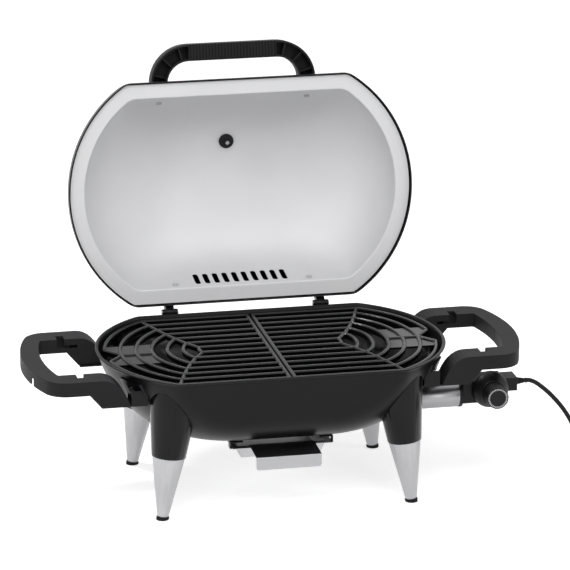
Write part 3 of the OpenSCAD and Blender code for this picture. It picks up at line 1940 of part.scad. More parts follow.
plug_body_len = 36;
pin_len = 19;
pin_r = 2.4;
pin_spread = 9.5;
module power_plug() {
  color("#1a1a1b") placed()
    translate([plug_x, plug_y, plug_z])
      rotate([0, -90, 0]) {
        difference() {
          rotate_extrude()
            polygon([
              [0, 0],
              [5, 0],
              [6.5, 8],
              [11, 13],
              [15, 16],
              [plug_z, 24],
              [plug_z, plug_body_len],
              [0, plug_body_len]
            ]);
          for (side = [-1, 1])
            translate([side * plug_z, 0, 24 - eps])
              translate([0, 0, (plug_body_len - 24) / 2 + eps])
                cube([5, 6, plug_body_len - 24 + 2 * eps], center = true);
        }
        for (side = [-1, 1])
          translate([0, side * pin_spread, plug_body_len - eps])
            cylinder(h = pin_len + eps, r = pin_r);
      }
}

module front_left_upper_leg() { upper_leg(-1, -1); }
module front_right_upper_leg() { upper_leg(1, -1); }
module back_left_upper_leg() { upper_leg(-1, 1); }
module back_right_upper_leg() { upper_leg(1, 1); }
module front_left_lower_leg() { lower_leg(-1, -1); }
module front_right_lower_leg() { lower_leg(1, -1); }
module back_left_lower_leg() { lower_leg(-1, 1); }
module back_right_lower_leg() { lower_leg(1, 1); }

bowl();
grate_supports();
reflector_pan();
heater_element();
heater_supports();
heat_shield_sleeve();
front_left_upper_leg();
front_right_upper_leg();
back_left_upper_leg();
back_right_upper_leg();
front_left_lower_leg();
front_right_lower_leg();
back_left_lower_leg();
back_right_lower_leg();
foot_caps();
leg_bolts();
left_side_handle();
right_side_handle();
handle_brackets();
handle_screws();
hinge_bowl_leaves();
hinge_pins();
hinge_bowl_screws();
tray_rails();
rail_rivets();
grate_left();
grate_right();
drip_tray();
tray_pull();
lid_shell();
lid_liner();
lid_handle();
lid_handle_screws();
lid_spacers();
hinge_lid_leaves();
hinge_lid_screws();
thermometer_housing();
thermometer_dial();
thermometer_lens();
thermometer_stem();
thermometer_nut();
thermometer_needle();
control_housing();
control_cover();
housing_screws();
contact_sockets();
sensor_probe();
thermostat_switch();
strain_relief();
thermostat_knob();
knob_ring();
knob_shaft();
cord();
cord_coil();
cord_tie();
power_plug();
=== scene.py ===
# %% [markdown]
# # A table grill with a hinged lid, dressed for the camera
# The grill's measured solids come from its CAD model and are loaded as a fixed frame.
# Everything made below sits in that same frame: metres, X to the right, Y to the back, Z up.
# Pieces that need softer shapes are modelled again and stand in for their solid; the rest keep
# their solid and get a better finish.

# %% Load the frame
import json
import math

import bmesh
import bpy
from mathutils import Matrix, Vector


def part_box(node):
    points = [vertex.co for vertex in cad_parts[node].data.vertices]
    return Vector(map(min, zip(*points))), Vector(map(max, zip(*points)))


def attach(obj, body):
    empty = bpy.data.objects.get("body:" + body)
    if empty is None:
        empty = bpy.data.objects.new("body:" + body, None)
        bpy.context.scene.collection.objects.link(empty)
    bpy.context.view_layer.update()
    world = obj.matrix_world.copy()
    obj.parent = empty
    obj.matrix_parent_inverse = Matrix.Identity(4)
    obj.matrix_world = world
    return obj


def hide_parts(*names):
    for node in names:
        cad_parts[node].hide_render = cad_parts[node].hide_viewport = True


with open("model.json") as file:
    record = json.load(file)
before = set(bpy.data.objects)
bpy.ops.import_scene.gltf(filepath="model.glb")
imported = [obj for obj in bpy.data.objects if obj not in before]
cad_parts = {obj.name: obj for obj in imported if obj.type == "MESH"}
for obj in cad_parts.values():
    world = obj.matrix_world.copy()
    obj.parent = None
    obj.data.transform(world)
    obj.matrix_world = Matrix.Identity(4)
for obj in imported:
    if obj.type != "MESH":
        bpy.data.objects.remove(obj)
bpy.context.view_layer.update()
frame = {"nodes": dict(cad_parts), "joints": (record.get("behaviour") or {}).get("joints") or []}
nodes = frame["nodes"]

# %% [markdown]
# ## Working units
# The grill was drawn in millimetres about the middle of its bowl. Two small helpers carry
# such a point into the frame: a function for single points and a matrix for whole meshes. The
# lid is drawn shut, the way it lies on the bowl, and a second matrix opens it about the pins of
# its hinges.

# %% Units and places
MM = 0.001
SHIFT_Y = 0.093


def place(x, y, z):
    """A point given in millimetres about the bowl's middle, in the frame's metres."""
    return Vector((x * MM, y * MM - SHIFT_Y, z * MM))


to_frame = Matrix.Translation((0, -SHIFT_Y, 0)) @ Matrix.Scale(MM, 4)
hinge = next(j for j in frame["joints"] if j["name"] == "lid_hinge")
pin = Vector(hinge["pos_m"])
open_lid = (
    Matrix.Translation(pin)
    @ Matrix.Rotation(-math.radians(hinge["range_deg"][1]), 4, "X")
    @ Matrix.Translation(-pin)
    @ to_frame
)
print("hinge pin at", [round(v, 4) for v in pin])

# %% [markdown]
# ## The camera
# A long lens from the front left and a little above keeps the grill's lines almost parallel.
# The camera looks along its own -Z, so it is first tipped down from the horizon and then
# turned about the upright axis. A small roll comes first of all, and the shifts slide the
# picture without bending its lines.

# %% Camera
SENSOR, LENS = 36, 262.4
SHIFT_RIGHT, SHIFT_UP = -0.0042, 0.0016
SIGHT_END = 60
TURN, DOWN, ROLL = 12.54, 17.34, 0.25
CAMERA_SPOT = (-1.2873, -5.9975, 2.2046)

camera_data = bpy.data.cameras.new("camera")
camera_data.sensor_width = SENSOR
camera_data.lens = LENS
camera_data.shift_x = SHIFT_RIGHT
camera_data.shift_y = SHIFT_UP
camera_data.clip_end = SIGHT_END
camera = bpy.data.objects.new("camera", camera_data)
bpy.context.scene.collection.objects.link(camera)
look = (
    Matrix.Rotation(-math.radians(TURN), 4, "Z")
    @ Matrix.Rotation(math.radians(90 - DOWN), 4, "X")
    @ Matrix.Rotation(math.radians(ROLL), 4, "Z")
)
camera.matrix_world = Matrix.Translation(CAMERA_SPOT) @ look
bpy.context.scene.camera = camera
print("camera at", [round(v, 2) for v in camera.matrix_world.translation])

# %% [markdown]
# ## The mains cord: its route
# The lead is one fixed length of rubber-sheathed flex, 7 mm thick. It leaves its strain
# relief level, droops to the table, and the rest is wound into a storage coil. The open
# stretches are smooth curves through a few given points, because gravity draws them
# and no formula has to. The coil is a spiral whose radius and height change gently where one
# turn steps past the next, so it is worked out from the angle of winding: the lower layer winds
# inwards, the cord climbs, and the upper layer winds out again, lifted a little wherever it
# crosses a step of the layer below.

# %% Open stretches of the cord
CORD_D = 0.007
CORD_EXIT = (394, -47.75, 155)


def smooth_line(points, steps=4):
    """A Catmull-Rom curve through the points."""
    out = []
    last = len(points) - 1
    for i in range(last):
        a, b = Vector(points[max(i - 1, 0)]), Vector(points[i])
        c, d = Vector(points[i + 1]), Vector(points[min(i + 2, last)])
        slope = c - a
        bend = 2 * a - 5 * b + 4 * c - d
        twist = 3 * b - a - 3 * c + d
        for k in range(steps):
            t = k / steps
            out.append(0.5 * (2 * b + slope * t + bend * t * t + twist * t**3))
    out.append(Vector(points[last]))
    return out


droop = [
    CORD_EXIT, (400, -47.75, 154.4), (408, -47.75, 150.7), (416, -47.75, 145),
    (432, -47.75, 130.6), (451.5, -47.75, 108), (467, -47.75, 83.5), (482.5, -47.75, 51.5),
    (491, -47.55, 35), (501, -46.95, 21), (513, -45.75, 11), (527, -44.45, 5.3),
    (543, -44, 3.7), (560, -44, 3.6),
]
tail = [
    (560, -138.5, 9.7), (550, -138.6, 10.4), (539, -139, 10.7), (526, -140, 13.2),
    (514, -141.2, 16.8), (506.5, -141.9, 18.3), (499, -142, 18.5),
]
print("open stretches through", len(droop), "and", len(tail), "points")

# %% Coil
COIL_X, COIL_Y = 560, -93
OUTER_TURN = 49
LAYER_LOW, LAYER_UP = 3.6, 6.06
CLIMB = (935, 1000)
STEPS_IN = [(7, 310, 355), (7, 670, 715)]
STEPS_OUT = [(3.5, 985, 1040), (7, 1275, 1325)]
UPPER_FROM = 1010
CROSS_LIFT, CROSS_RISE, CROSS_FALL = 1.0, (298, 315), (350, 362)
LAST_LIFT, LAST_RISE, LAST_FALL = 0.9, (1280, 1297), (1303, 1322)
COIL_START, COIL_END, COIL_STEP = 10, 1615, 10


def ramp(turn, start, end):
    """0 before start, 1 after end, and a soft step between them."""
    t = min(max((turn - start) / (end - start), 0), 1)
    return t * t * (3 - 2 * t)


def coil_point(turn):
    """A point of the coil after that many degrees of winding."""
    r = OUTER_TURN
    for step, start, end in STEPS_IN:
        r -= step * ramp(turn, start, end)
    for step, start, end in STEPS_OUT:
        r += step * ramp(turn, start, end)
    z = LAYER_LOW + LAYER_UP * ramp(turn, *CLIMB)
    z += LAST_LIFT * ramp(turn, *LAST_RISE) * (1 - ramp(turn, *LAST_FALL))
    if turn > UPPER_FROM:
        within = turn % 360
        z += CROSS_LIFT * ramp(within, *CROSS_RISE) * (1 - ramp(within, *CROSS_FALL))
    a = math.radians(90 - turn)
    return Vector((COIL_X + r * math.cos(a), COIL_Y + r * math.sin(a), z))


coil = [coil_point(turn) for turn in range(COIL_START, COIL_END, COIL_STEP)]
cord_line = [place(*p) for p in smooth_line(droop) + coil + smooth_line(tail)]
cord_length = sum((b - a).length for a, b in zip(cord_line, cord_line[1:]))
print("cord length", round(cord_length, 3), "m in", len(cord_line), "points")

# %% [markdown]
# ## The mains cord: its sheath
# A curve with a round bevel is the natural way to make the flex: its own line is the cord's
# centreline, so its length stays known and it has no seam to close. The thickness is carried
# by the points' radius, with a bevel depth of one, so that the size of the cord is written in
# one place only.


# %% Cord curve
def cord_curve(name, points, radius):
    """A round cord along the points, as a curve object."""
    data = bpy.data.curves.new(name, "CURVE")
    data.dimensions = "3D"
    data.bevel_depth = 1.0
    data.bevel_resolution = 4
    data.use_fill_caps = True
    spline = data.splines.new("POLY")
    spline.points.add(len(points) - 1)
    for spot, p in zip(spline.points, points):
        spot.co = (*p, 1)
        spot.radius = radius
    spline.use_smooth = True
    made = bpy.data.objects.new(name, data)
    bpy.context.scene.collection.objects.link(made)
    return made


mains_cord = cord_curve("mains_cord", cord_line, CORD_D / 2)
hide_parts("cord", "cord_coil")
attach(mains_cord, "heat_control")
print("cord", round(CORD_D / MM, 1), "mm thick")

# %% [markdown]
# ## Finishes
# Each finish is a small node tree on one Principled shader. A colour that drifts a little over
# centimetres, a roughness that changes over millimetres, and a fine bump make a surface look
# made rather than drawn. The patterns read Object coordinates, which are metres here, so a
# scale of 1000 is one grain to the millimetre. Brushed metal is the same grain, stretched along
# one axis by the Mapping node.


# %% A noise pattern
def noise(tree, where, scale, detail):
    """The value of a noise pattern on the given coordinates."""
    pattern = tree.nodes.new("ShaderNodeTexNoise")
    pattern.inputs["Scale"].default_value = scale
    pattern.inputs["Detail"].default_value = detail
    tree.links.new(where, pattern.inputs["Vector"])
    return pattern.outputs["Fac"]


# %% A finish
GRAIN_DEPTH = 0.0002
ROUGH_SPREAD = 0.07


def finish(
    name, colour, rough, metal=0.0, spec=0.5, grain=900.0, bump=0.1, drift=0.12, patch=14.0,
    along=(1, 1, 1),
):
    """A colour that drifts in patches under a fine grain; along stretches both into brush lines."""
    made = bpy.data.materials.new(name)
    made.use_nodes = True
    tree = made.node_tree
    shader = tree.nodes["Principled BSDF"]
    shader.inputs["Metallic"].default_value = metal
    shader.inputs["Specular IOR Level"].default_value = spec
    where = tree.nodes.new("ShaderNodeTexCoord")
    placed = tree.nodes.new("ShaderNodeMapping")
    placed.inputs["Scale"].default_value = along
    tree.links.new(where.outputs["Object"], placed.inputs["Vector"])

    tint = tree.nodes.new("ShaderNodeValToRGB")
    dark, light = tint.color_ramp.elements
    dark.position, light.position = 0.3, 0.7
    dark.color = (*[c * (1 - drift) for c in colour], 1)
    light.color = (*[min(c * (1 + drift), 1) for c in colour], 1)
    tree.links.new(noise(tree, placed.outputs["Vector"], patch, 4), tint.inputs["Fac"])
    tree.links.new(tint.outputs["Color"], shader.inputs["Base Color"])

    fine = noise(tree, placed.outputs["Vector"], grain, 3)
    gloss = tree.nodes.new("ShaderNodeMapRange")
    gloss.inputs["To Min"].default_value = max(rough - ROUGH_SPREAD, 0.02)
    gloss.inputs["To Max"].default_value = min(rough + ROUGH_SPREAD, 1)
    tree.links.new(fine, gloss.inputs["Value"])
    tree.links.new(gloss.outputs["Result"], shader.inputs["Roughness"])
    relief = tree.nodes.new("ShaderNodeBump")
    relief.inputs["Strength"].default_value = bump
    relief.inputs["Distance"].default_value = GRAIN_DEPTH
    tree.links.new(fine, relief.inputs["Height"])
    tree.links.new(relief.outputs["Normal"], shader.inputs["Normal"])
    return made


# %% [markdown]
# ## The grill's own finishes
# Black enamel is smooth and dark, and mirrors the lamps only softly. The lid's lining is satin
# aluminium, half way between paint and metal, so that it stays pale without glare. The legs
# and the steel parts are brushed or satin metal, and the plastics are duller than the enamel.
# Each look is a row of values, and one loop makes them all and hands them to the solids, whose
# material slots carry the same names.

# %% Looks of the grill's materials
looks = {
    "bowl_enamel": dict(colour=(0.005, 0.005, 0.0055), rough=0.34, spec=0.16, grain=700, bump=0.2),
    "lid_enamel": dict(colour=(0.005, 0.005, 0.0055), rough=0.32, spec=0.22, grain=700, bump=0.2),
    "lid_lining": dict(
        colour=(0.72, 0.72, 0.73), rough=0.66, metal=0.45, grain=1500, bump=0.12, drift=0.015,
    ),
    "black_fittings": dict(colour=(0.004, 0.004, 0.005), rough=0.34, spec=0.2, bump=0.2),
    "grate": dict(colour=(0.003, 0.003, 0.0035), rough=0.2, spec=0.4, grain=420, bump=0.15),
    "pan": dict(colour=(0.004, 0.004, 0.0045), rough=0.24, spec=0.2, grain=500, bump=0.15),
    "tray": dict(colour=(0.5, 0.5, 0.51), rough=0.34, metal=1.0, grain=500, bump=0.12),
    "pull": dict(
        colour=(0.38, 0.38, 0.39), rough=0.34, metal=1.0, grain=700, bump=0.35, along=(0.02, 1, 1),
    ),
    "leg_silver": dict(
        colour=(0.42, 0.42, 0.43), rough=0.3, metal=0.9, grain=1600, bump=0.1, drift=0.03,
    ),
    "leg_black": dict(colour=(0.002, 0.002, 0.0025), rough=0.2, spec=0.2, bump=0.12),
    "foot_rubber": dict(colour=(0.008, 0.008, 0.008), rough=0.75, spec=0.2, grain=1200, bump=0.3),
    "handle_plastic": dict(
        colour=(0.014, 0.014, 0.015), rough=0.58, spec=0.15, grain=1300, bump=0.3,
    ),
    "control_plastic": dict(
        colour=(0.006, 0.006, 0.007), rough=0.42, spec=0.2, grain=1300, bump=0.25,
    ),
    "switch_plastic": dict(colour=(0.25, 0.22, 0.17), rough=0.5, grain=1300, bump=0.2),
    "cord_rubber": dict(colour=(0.006, 0.006, 0.006), rough=0.5, spec=0.2, grain=1500, bump=0.2),
    "heater_tube": dict(colour=(0.04, 0.038, 0.036), rough=0.5, metal=0.6, bump=0.3, drift=0.25),
    "steel": dict(
        colour=(0.3, 0.3, 0.31), rough=0.3, metal=1.0, grain=1500, bump=0.12, along=(1, 0.02, 0.02),
    ),
    "polished_steel": dict(colour=(0.6, 0.6, 0.61), rough=0.18, metal=1.0, bump=0.03),
    "brass": dict(colour=(0.75, 0.56, 0.26), rough=0.3, metal=1.0),
    "dial_face": dict(colour=(0.8, 0.8, 0.78), rough=0.5, bump=0.05, drift=0.02),
    "needle_red": dict(colour=(0.6, 0.03, 0.02), rough=0.4, bump=0.05),
    "lens": dict(colour=(0.9, 0.9, 0.9), rough=0.08, bump=0.0),
}
finishes = {name: finish(name, **look) for name, look in looks.items()}
for node in nodes.values():
    for slot in node.material_slots:
        own_name = slot.material.name.split(".")[0] if slot.material else None
        if own_name in finishes:
            slot.material = finishes[own_name]
mains_cord.data.materials.append(finishes["cord_rubber"])
print("finishes:", len(finishes))

# %% [markdown]
# ## Softened edges
# Nothing pressed or moulded has a knife edge. A solid from CAD is a set of loose triangles, so
# a Weld modifier joins them, a Decimate modifier gathers the flat ones, and a narrow Bevel
# rounds the corners. All three are live, and the solid itself stays as it was measured.

# %% Soften
FLAT_ANGLE, EDGE_ANGLE = 1, 35


def soften(node_name, width):
    """Joins a solid's triangles and rounds its edges by width millimetres."""
    piece = nodes[node_name]
    weld = piece.modifiers.new("weld", "WELD")
    weld.merge_threshold = 0.02 * MM
    flat = piece.modifiers.new("flat", "DECIMATE")
    flat.decimate_type = "DISSOLVE"
    flat.angle_limit = math.radians(FLAT_ANGLE)
    round_off = piece.modifiers.new("edges", "BEVEL")
    round_off.width = width * MM
    round_off.segments = 2
    round_off.limit_method = "ANGLE"
    round_off.angle_limit = math.radians(EDGE_ANGLE)
    round_off.harden_normals = True


edge_widths = {
    "left_side_handle": 2.4,
    "right_side_handle": 2.4,
    "grate_left": 1.4,
    "grate_right": 1.4,
    "lid_handle": 0.9,
    "control_housing": 1.0,
    "control_cover": 0.6,
    "drip_tray": 0.5,
    "handle_brackets": 0.5,
    "hinge_bowl_leaves": 0.4,
    "hinge_lid_leaves": 0.4,
    "tray_rails": 0.5,
    "heat_shield_sleeve": 0.4,
    "foot_caps": 0.8,
    "thermometer_housing": 0.5,
    "leg_bolts": 0.3,
    **{name: 0.5 for name in nodes if name.endswith("_leg")},
}
for node_name, width in edge_widths.items():
    soften(node_name, width)
print("softened solids:", len(edge_widths))

# %% [markdown]
# ## Pressed sheet: one form for the bowl and for both walls of the lid
# All three are deep-drawn from sheet: two round ends, a straight middle, and a front and a
# back that the press flattens. Spinning the section half a turn makes one round end,
# extruding its two edges makes the straight middle, and a mirror makes the other end.
# The front and back are then pressed flat by moving points to the wall, with a soft blend
# where wall and dome meet, because drawn sheet never folds sharply there.

# %% Pressed form
END_X = 66.5
RIM_Z, LID_Z = 227.0, 227.4
FLATTENED = 32
SPIN_STEPS, MIDDLE_STEPS, SECTION_STEPS = 144, 3, 40
JOIN = 0.01


def soft_min(a, b, k):
    """The smaller of two numbers, blended where they lie within k of each other."""
    h = min(max(0.5 + 0.5 * (b - a) / k, 0), 1)
    return b + (a - b) * h - k * h * (1 - h)


def pressed_form(rows):
    """A sheet in millimetres from rows of radius, height, half depth of the flat walls, and blend."""
    form = bmesh.new()
    half = form.verts.layers.float.new("half")
    blend = form.verts.layers.float.new("blend")
    row = []
    for r, z, wall, k in rows:
        row.append(form.verts.new((0, -r, z)))
        row[-1][half], row[-1][blend] = wall, k
    line = [form.edges.new(pair) for pair in zip(row, row[1:])]
    spun = bmesh.ops.spin(form, geom=row + line, axis=(0, 0, 1), angle=math.pi, steps=SPIN_STEPS)
    last = [e for e in spun["geom_last"] if isinstance(e, bmesh.types.BMEdge)]
    bmesh.ops.translate(form, verts=form.verts, vec=(END_X, 0, 0))
    for edges in (line, last):
        for _ in range(MIDDLE_STEPS):
            grown = bmesh.ops.extrude_edge_only(form, edges=edges)["geom"]
            moved = [g for g in grown if isinstance(g, bmesh.types.BMVert)]
            ends = set(moved)
            edges = [g for g in grown if isinstance(g, bmesh.types.BMEdge) and set(g.verts) <= ends]
            bmesh.ops.translate(form, verts=moved, vec=(-END_X / MIDDLE_STEPS, 0, 0))
    everything = form.verts[:] + form.edges[:] + form.faces[:]
    bmesh.ops.mirror(form, geom=everything, axis="X", merge_dist=JOIN)
    bmesh.ops.remove_doubles(form, verts=form.verts, dist=JOIN)
    for v in form.verts:
        v.co.y = math.copysign(soft_min(abs(v.co.y), v[half], v[blend]), v.co.y)
    bmesh.ops.recalc_face_normals(form, faces=form.faces)
    return form


print("middles of the round ends", 2 * END_X, "mm apart")

# %% [markdown]
# ## Punched holes
# The press also punches the slots and holes. Here one mesh holds all the punches of a sheet:
# each is an outline drawn out to a prism and laid along its hole. A Boolean modifier then cuts
# them out in one go, which keeps the sheet closed round every hole. The last helper turns a
# form into a finished piece, with its place in the mesh itself, and counts its open edges.


# %% Punches
def slot_outline(width, length, arc=10):
    """A slot with round ends, long along Y; width equal to length makes a round hole."""
    r, off = width / 2, (length - width) / 2
    turns = [math.pi * i / arc for i in range(arc + 1)]
    up = [(r * math.cos(a), off + r * math.sin(a)) for a in turns]
    down = [(-x, -y) for x, y in up]
    return up + down if off > 0 else up[:-1] + down[:-1]


def add_tool(tools, outline, length, matrix):
    """Adds a cutting prism: an outline in X and Y, drawn out along Z, then placed."""
    corners = [tools.verts.new((x, y, 0)) for x, y in outline]
    grown = bmesh.ops.extrude_face_region(tools, geom=[tools.faces.new(corners)])["geom"]
    top = [g for g in grown if isinstance(g, bmesh.types.BMVert)]
    bmesh.ops.translate(tools, verts=top, vec=(0, 0, length))
    bmesh.ops.transform(tools, verts=corners + top, matrix=matrix)


def plain_object(name, form):
    """An object with the form as its mesh."""
    data = bpy.data.meshes.new(name)
    form.to_mesh(data)
    form.free()
    made = bpy.data.objects.new(name, data)
    bpy.context.scene.collection.objects.link(made)
    return made


def punched(form, tools):
    """The form with the tools' shapes cut out of it."""
    bmesh.ops.recalc_face_normals(tools, faces=tools.faces)
    blank, tool = plain_object("blank", form), plain_object("tool", tools)
    cut = blank.modifiers.new("cut", "BOOLEAN")
    cut.operation = "DIFFERENCE"
    cut.object = tool
    done = bmesh.new()
    done.from_object(blank, bpy.context.evaluated_depsgraph_get())
    for spent in (blank, tool):
        bpy.data.objects.remove(spent)
    return done


# %% A finished piece
def piece_from(form, name, finish_name, body, matrix, node_name, sharp=35):
    """A form in millimetres as a finished piece of the grill, in place of its solid."""
    bmesh.ops.transform(form, verts=form.verts, matrix=matrix)
    loose = sum(1 for e in form.edges if len(e.link_faces) != 2)
    if form.calc_volume(signed=True) < 0:
        bmesh.ops.reverse_faces(form, faces=form.faces)
    millilitres = round(form.calc_volume() / MM**3 / 1000, 1)
    print(name, len(form.faces), "faces,", loose, "open edges,", millilitres, "ml")
    made = plain_object(name, form)
    made.data.materials.append(finishes[finish_name])
    made.data.shade_smooth()
    made.data.set_sharp_from_angle(angle=math.radians(sharp))
    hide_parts(node_name)
    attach(made, body)


# %% [markdown]
# ## Lid: its punches
# The lining is a satin aluminium pressing: a flat flange that shuts on the rim, a tight bend,
# and a wall that curls over into the dome. The shell is a wider steel pressing with a straight
# skirt that hides the flange, and the air between the two keeps the heat in. The same punches
# go through both, so the vent slots in the back walls line up, and so do the holes for the
# handle's screws, the hinges' screws and the thermometer's stem. The slots are longer in the
# lining than in the shell.

# %% Lid sizes
LINER_R, DOME_H = 181.5, 118.0
LINER_HALF, LINER_LEAN = 149.5, 0.12
SHELL_R, CROWN_H = 206.1, 123.8
SHELL_HALF, SHELL_LEAN = 174.1, 0.1
WALL_CURL = 0.003
VENTS, VENT_PITCH, VENT_W, VENT_Z = 10, 15.5, 8.6, 33
VENT_START, VENT_CUT = 60, 200
HANDLE_SCREW_X, HANDLE_SCREW_Z = 118.5, 42
HINGE_SCREW_X, HINGE_SCREW_Z = 107.5, 14
SCREW_HOLE, SCREW_START, SCREW_CUT = 5.4, -10, 50
GAUGE_HOLE, GAUGE_START, GAUGE_CUT = 6.4, -40, 80
GAUGE_Y = 68
print("vent slots", VENTS, "over", round((VENTS - 1) * VENT_PITCH + VENT_W, 1), "mm")


# %% Lid punches
def lid_wall(half, lean, w):
    """Half depth of a lid's flat wall at a height above its flange."""
    return half - lean * w - WALL_CURL * w * w


def lid_slope(lean, w):
    """How far a lid's flat wall leans from upright at a height above its flange."""
    return math.atan(lean + 2 * WALL_CURL * w)


def square_to_wall(x, w, back):
    """A matrix that lays a punch square to the lining's front or back wall, from inside the lid."""
    y = lid_wall(LINER_HALF, LINER_LEAN, w)
    lean = math.radians(90) - lid_slope(LINER_LEAN, w)
    spot = Matrix.Translation((x, y if back else -y, LID_Z + w))
    turned = Matrix.Rotation(-lean if back else lean, 4, "X")
    return spot @ turned @ Matrix.Translation((0, 0, SCREW_START))


def lid_tools(vent_length):
    """The vent slots, the screw holes and the gauge's hole."""
    tools = bmesh.new()
    along_y = Matrix.Rotation(math.radians(-90), 4, "X")
    for i in range(VENTS):
        x = (i - (VENTS - 1) / 2) * VENT_PITCH
        spot = Matrix.Translation((x, VENT_START, LID_Z + VENT_Z))
        add_tool(tools, slot_outline(VENT_W, vent_length), VENT_CUT, spot @ along_y)
    hole = slot_outline(SCREW_HOLE, SCREW_HOLE)
    for side in (-1, 1):
        in_front = square_to_wall(side * HANDLE_SCREW_X, HANDLE_SCREW_Z, back=False)
        behind = square_to_wall(side * HINGE_SCREW_X, HINGE_SCREW_Z, back=True)
        add_tool(tools, hole, SCREW_CUT, in_front)
        add_tool(tools, hole, SCREW_CUT, behind)
    top = CROWN_H * math.sqrt(1 - (GAUGE_Y / SHELL_R) ** 2)
    tilt = Matrix.Rotation(math.atan2(GAUGE_Y / SHELL_R**2, top / CROWN_H**2), 4, "X")
    spot = Matrix.Translation((0, -GAUGE_Y, LID_Z + top)) @ tilt
    below = Matrix.Translation((0, 0, GAUGE_START))
    add_tool(tools, slot_outline(GAUGE_HOLE, GAUGE_HOLE), GAUGE_CUT, spot @ below)
    return tools


# %% [markdown]
# ## Lid: lining and shell
# Both sheets are rows for the pressed form. The lining's rows run in along the flange, round
# the bend and up an elliptic dome to its crown, and the shell's run up the skirt and its own
# dome. Solidify then grows each wall outwards from the face that was drawn. It grows against
# the normals, and an open sheet's recalculated normals follow its farthest faces: the flange
# turns the lining's into the lid, and the skirt turns the shell's outwards. That is why the
# shell's thickness is negative.

# %% Lid sheets
FLANGE_R = 204.2
LID_BLEND, LID_BLEND_GROWTH = 5, 0.3
LINER_WALL, SHELL_WALL = 1.2, 1.6
LINER_VENT, SHELL_VENT = 36, 28


def dome_rows(r, h, half, lean, start):
    """Rows up the dome, from a height to the crown."""
    rows = []
    for i in range(SECTION_STEPS + 1):
        a = math.radians(90 * i / SECTION_STEPS)
        z = h * math.sin(a)
        if z >= start:
            blend = LID_BLEND + LID_BLEND_GROWTH * z
            rows.append((max(r * math.cos(a), 0), z, lid_wall(half, lean, z), blend))
    return rows


def lid_sheet(rows, thickness, vent_length):
    """A lid sheet with its wall and its holes, shut on the bowl."""
    sheet = pressed_form(rows)
    bmesh.ops.solidify(sheet, geom=sheet.faces[:], thickness=thickness)
    bmesh.ops.translate(sheet, verts=sheet.verts, vec=(0, 0, LID_Z))
    return punched(sheet, lid_tools(vent_length))


flange = [
    (r, 0.0, r - FLATTENED, 1 + LID_BLEND_GROWTH * (FLANGE_R - r))
    for r in (FLANGE_R, 203.6, 200, 194, 188, 184.5, 183)
]
bend = [(182.3, 0.3, 150.3, 6), (181.8, 1.0, 149.7, 6)]
liner_rows = flange + bend + dome_rows(LINER_R, DOME_H, LINER_HALF, LINER_LEAN, start=2.5)
liner = lid_sheet(liner_rows, LINER_WALL, LINER_VENT)
piece_from(liner, "lid_lining_sheet", "lid_lining", "lid", open_lid, "lid_liner")

skirt = [(SHELL_R, z, SHELL_R - FLATTENED, LID_BLEND) for z in (-6, -5.4, -3, 0)]
shell_rows = skirt + dome_rows(SHELL_R, CROWN_H, SHELL_HALF, SHELL_LEAN, start=1)
shell = lid_sheet(shell_rows, -SHELL_WALL, SHELL_VENT)
piece_from(shell, "lid_shell_sheet", "lid_enamel", "lid", open_lid, "lid_shell")

# %% [markdown]
# ## Bowl
# The bowl is one deep pressing too. Its section falls steeply from the rim and rounds into a
# flat floor: a superellipse, which is a circle's sine and cosine, each raised to a power of its
# own. The rim is rolled over into a small bead, so the section here runs from the middle of the
# floor's underside, up the outside, over the bead and down the inside. That draws the wall as
# well, so the bowl needs no solidify.

# %% Bowl
BOWL_R, BOWL_DEPTH, BOWL_WALL = 200.5, 130.0, 2.5
FALL_POWER, ROUND_POWER = 2 / 1.3, 2 / 3.28
FLOOR_ANGLE = 82
BOWL_LEAN = 0.206
FLOOR_HALF, FLOOR_BLEND = 150, 20
RIM_BLEND, BOWL_BLEND_GROWTH = 2.5, 0.2
BELOW_BEAD = 3.2
DRAIN_D, DRAIN_START, DRAIN_CUT = 24, 90, 20
HEATER_Y, HEATER_Z, HEATER_SPREAD = -55, 144.5, 9
HEATER_HOLE, HEATER_CUT = 10, 200


def bowl_rows(inset):
    """Rows from the middle of the floor up to the rim, for the outside or the inside."""
    r, depth = BOWL_R - inset, BOWL_DEPTH - inset
    low = depth * math.sin(math.radians(FLOOR_ANGLE)) ** FALL_POWER
    wide = r * math.cos(math.radians(FLOOR_ANGLE)) ** ROUND_POWER
    rows = [(x, RIM_Z - low, FLOOR_HALF, FLOOR_BLEND) for x in (0, 16, 40, wide - 8)]
    for i in range(SECTION_STEPS + 1):
        a = math.radians(FLOOR_ANGLE * (1 - i / SECTION_STEPS))
        drop = depth * math.sin(a) ** FALL_POWER
        flat = BOWL_R - FLATTENED - inset - BOWL_LEAN * drop
        blend = RIM_BLEND + BOWL_BLEND_GROWTH * drop
        rows.append((r * math.cos(a) ** ROUND_POWER, RIM_Z - drop, flat, blend))
    return [row for row in rows if row[1] < RIM_Z - BELOW_BEAD]


bead = [
    (201, -3), (202.2, -2.9), (203.1, -2.3), (203.5, -1.4), (203.2, -0.6), (202.5, -0.1),
    (201.4, 0), (199.4, -0.05), (198.5, -0.5), (198.05, -1.4),
]
bead_rows = [(r, RIM_Z + z, r - FLATTENED, RIM_BLEND) for r, z in bead]
bowl = pressed_form(bowl_rows(0) + bead_rows + bowl_rows(BOWL_WALL)[::-1])
bowl_tools = bmesh.new()
drain = slot_outline(DRAIN_D, DRAIN_D, arc=24)
add_tool(bowl_tools, drain, DRAIN_CUT, Matrix.Translation((0, 0, DRAIN_START)))
along_x = Matrix.Rotation(math.radians(90), 4, "Y")
pin_hole = slot_outline(HEATER_HOLE, HEATER_HOLE)
for side in (-1, 1):
    spot = Matrix.Translation((END_X, HEATER_Y + side * HEATER_SPREAD, HEATER_Z))
    add_tool(bowl_tools, pin_hole, HEATER_CUT, spot @ along_x)
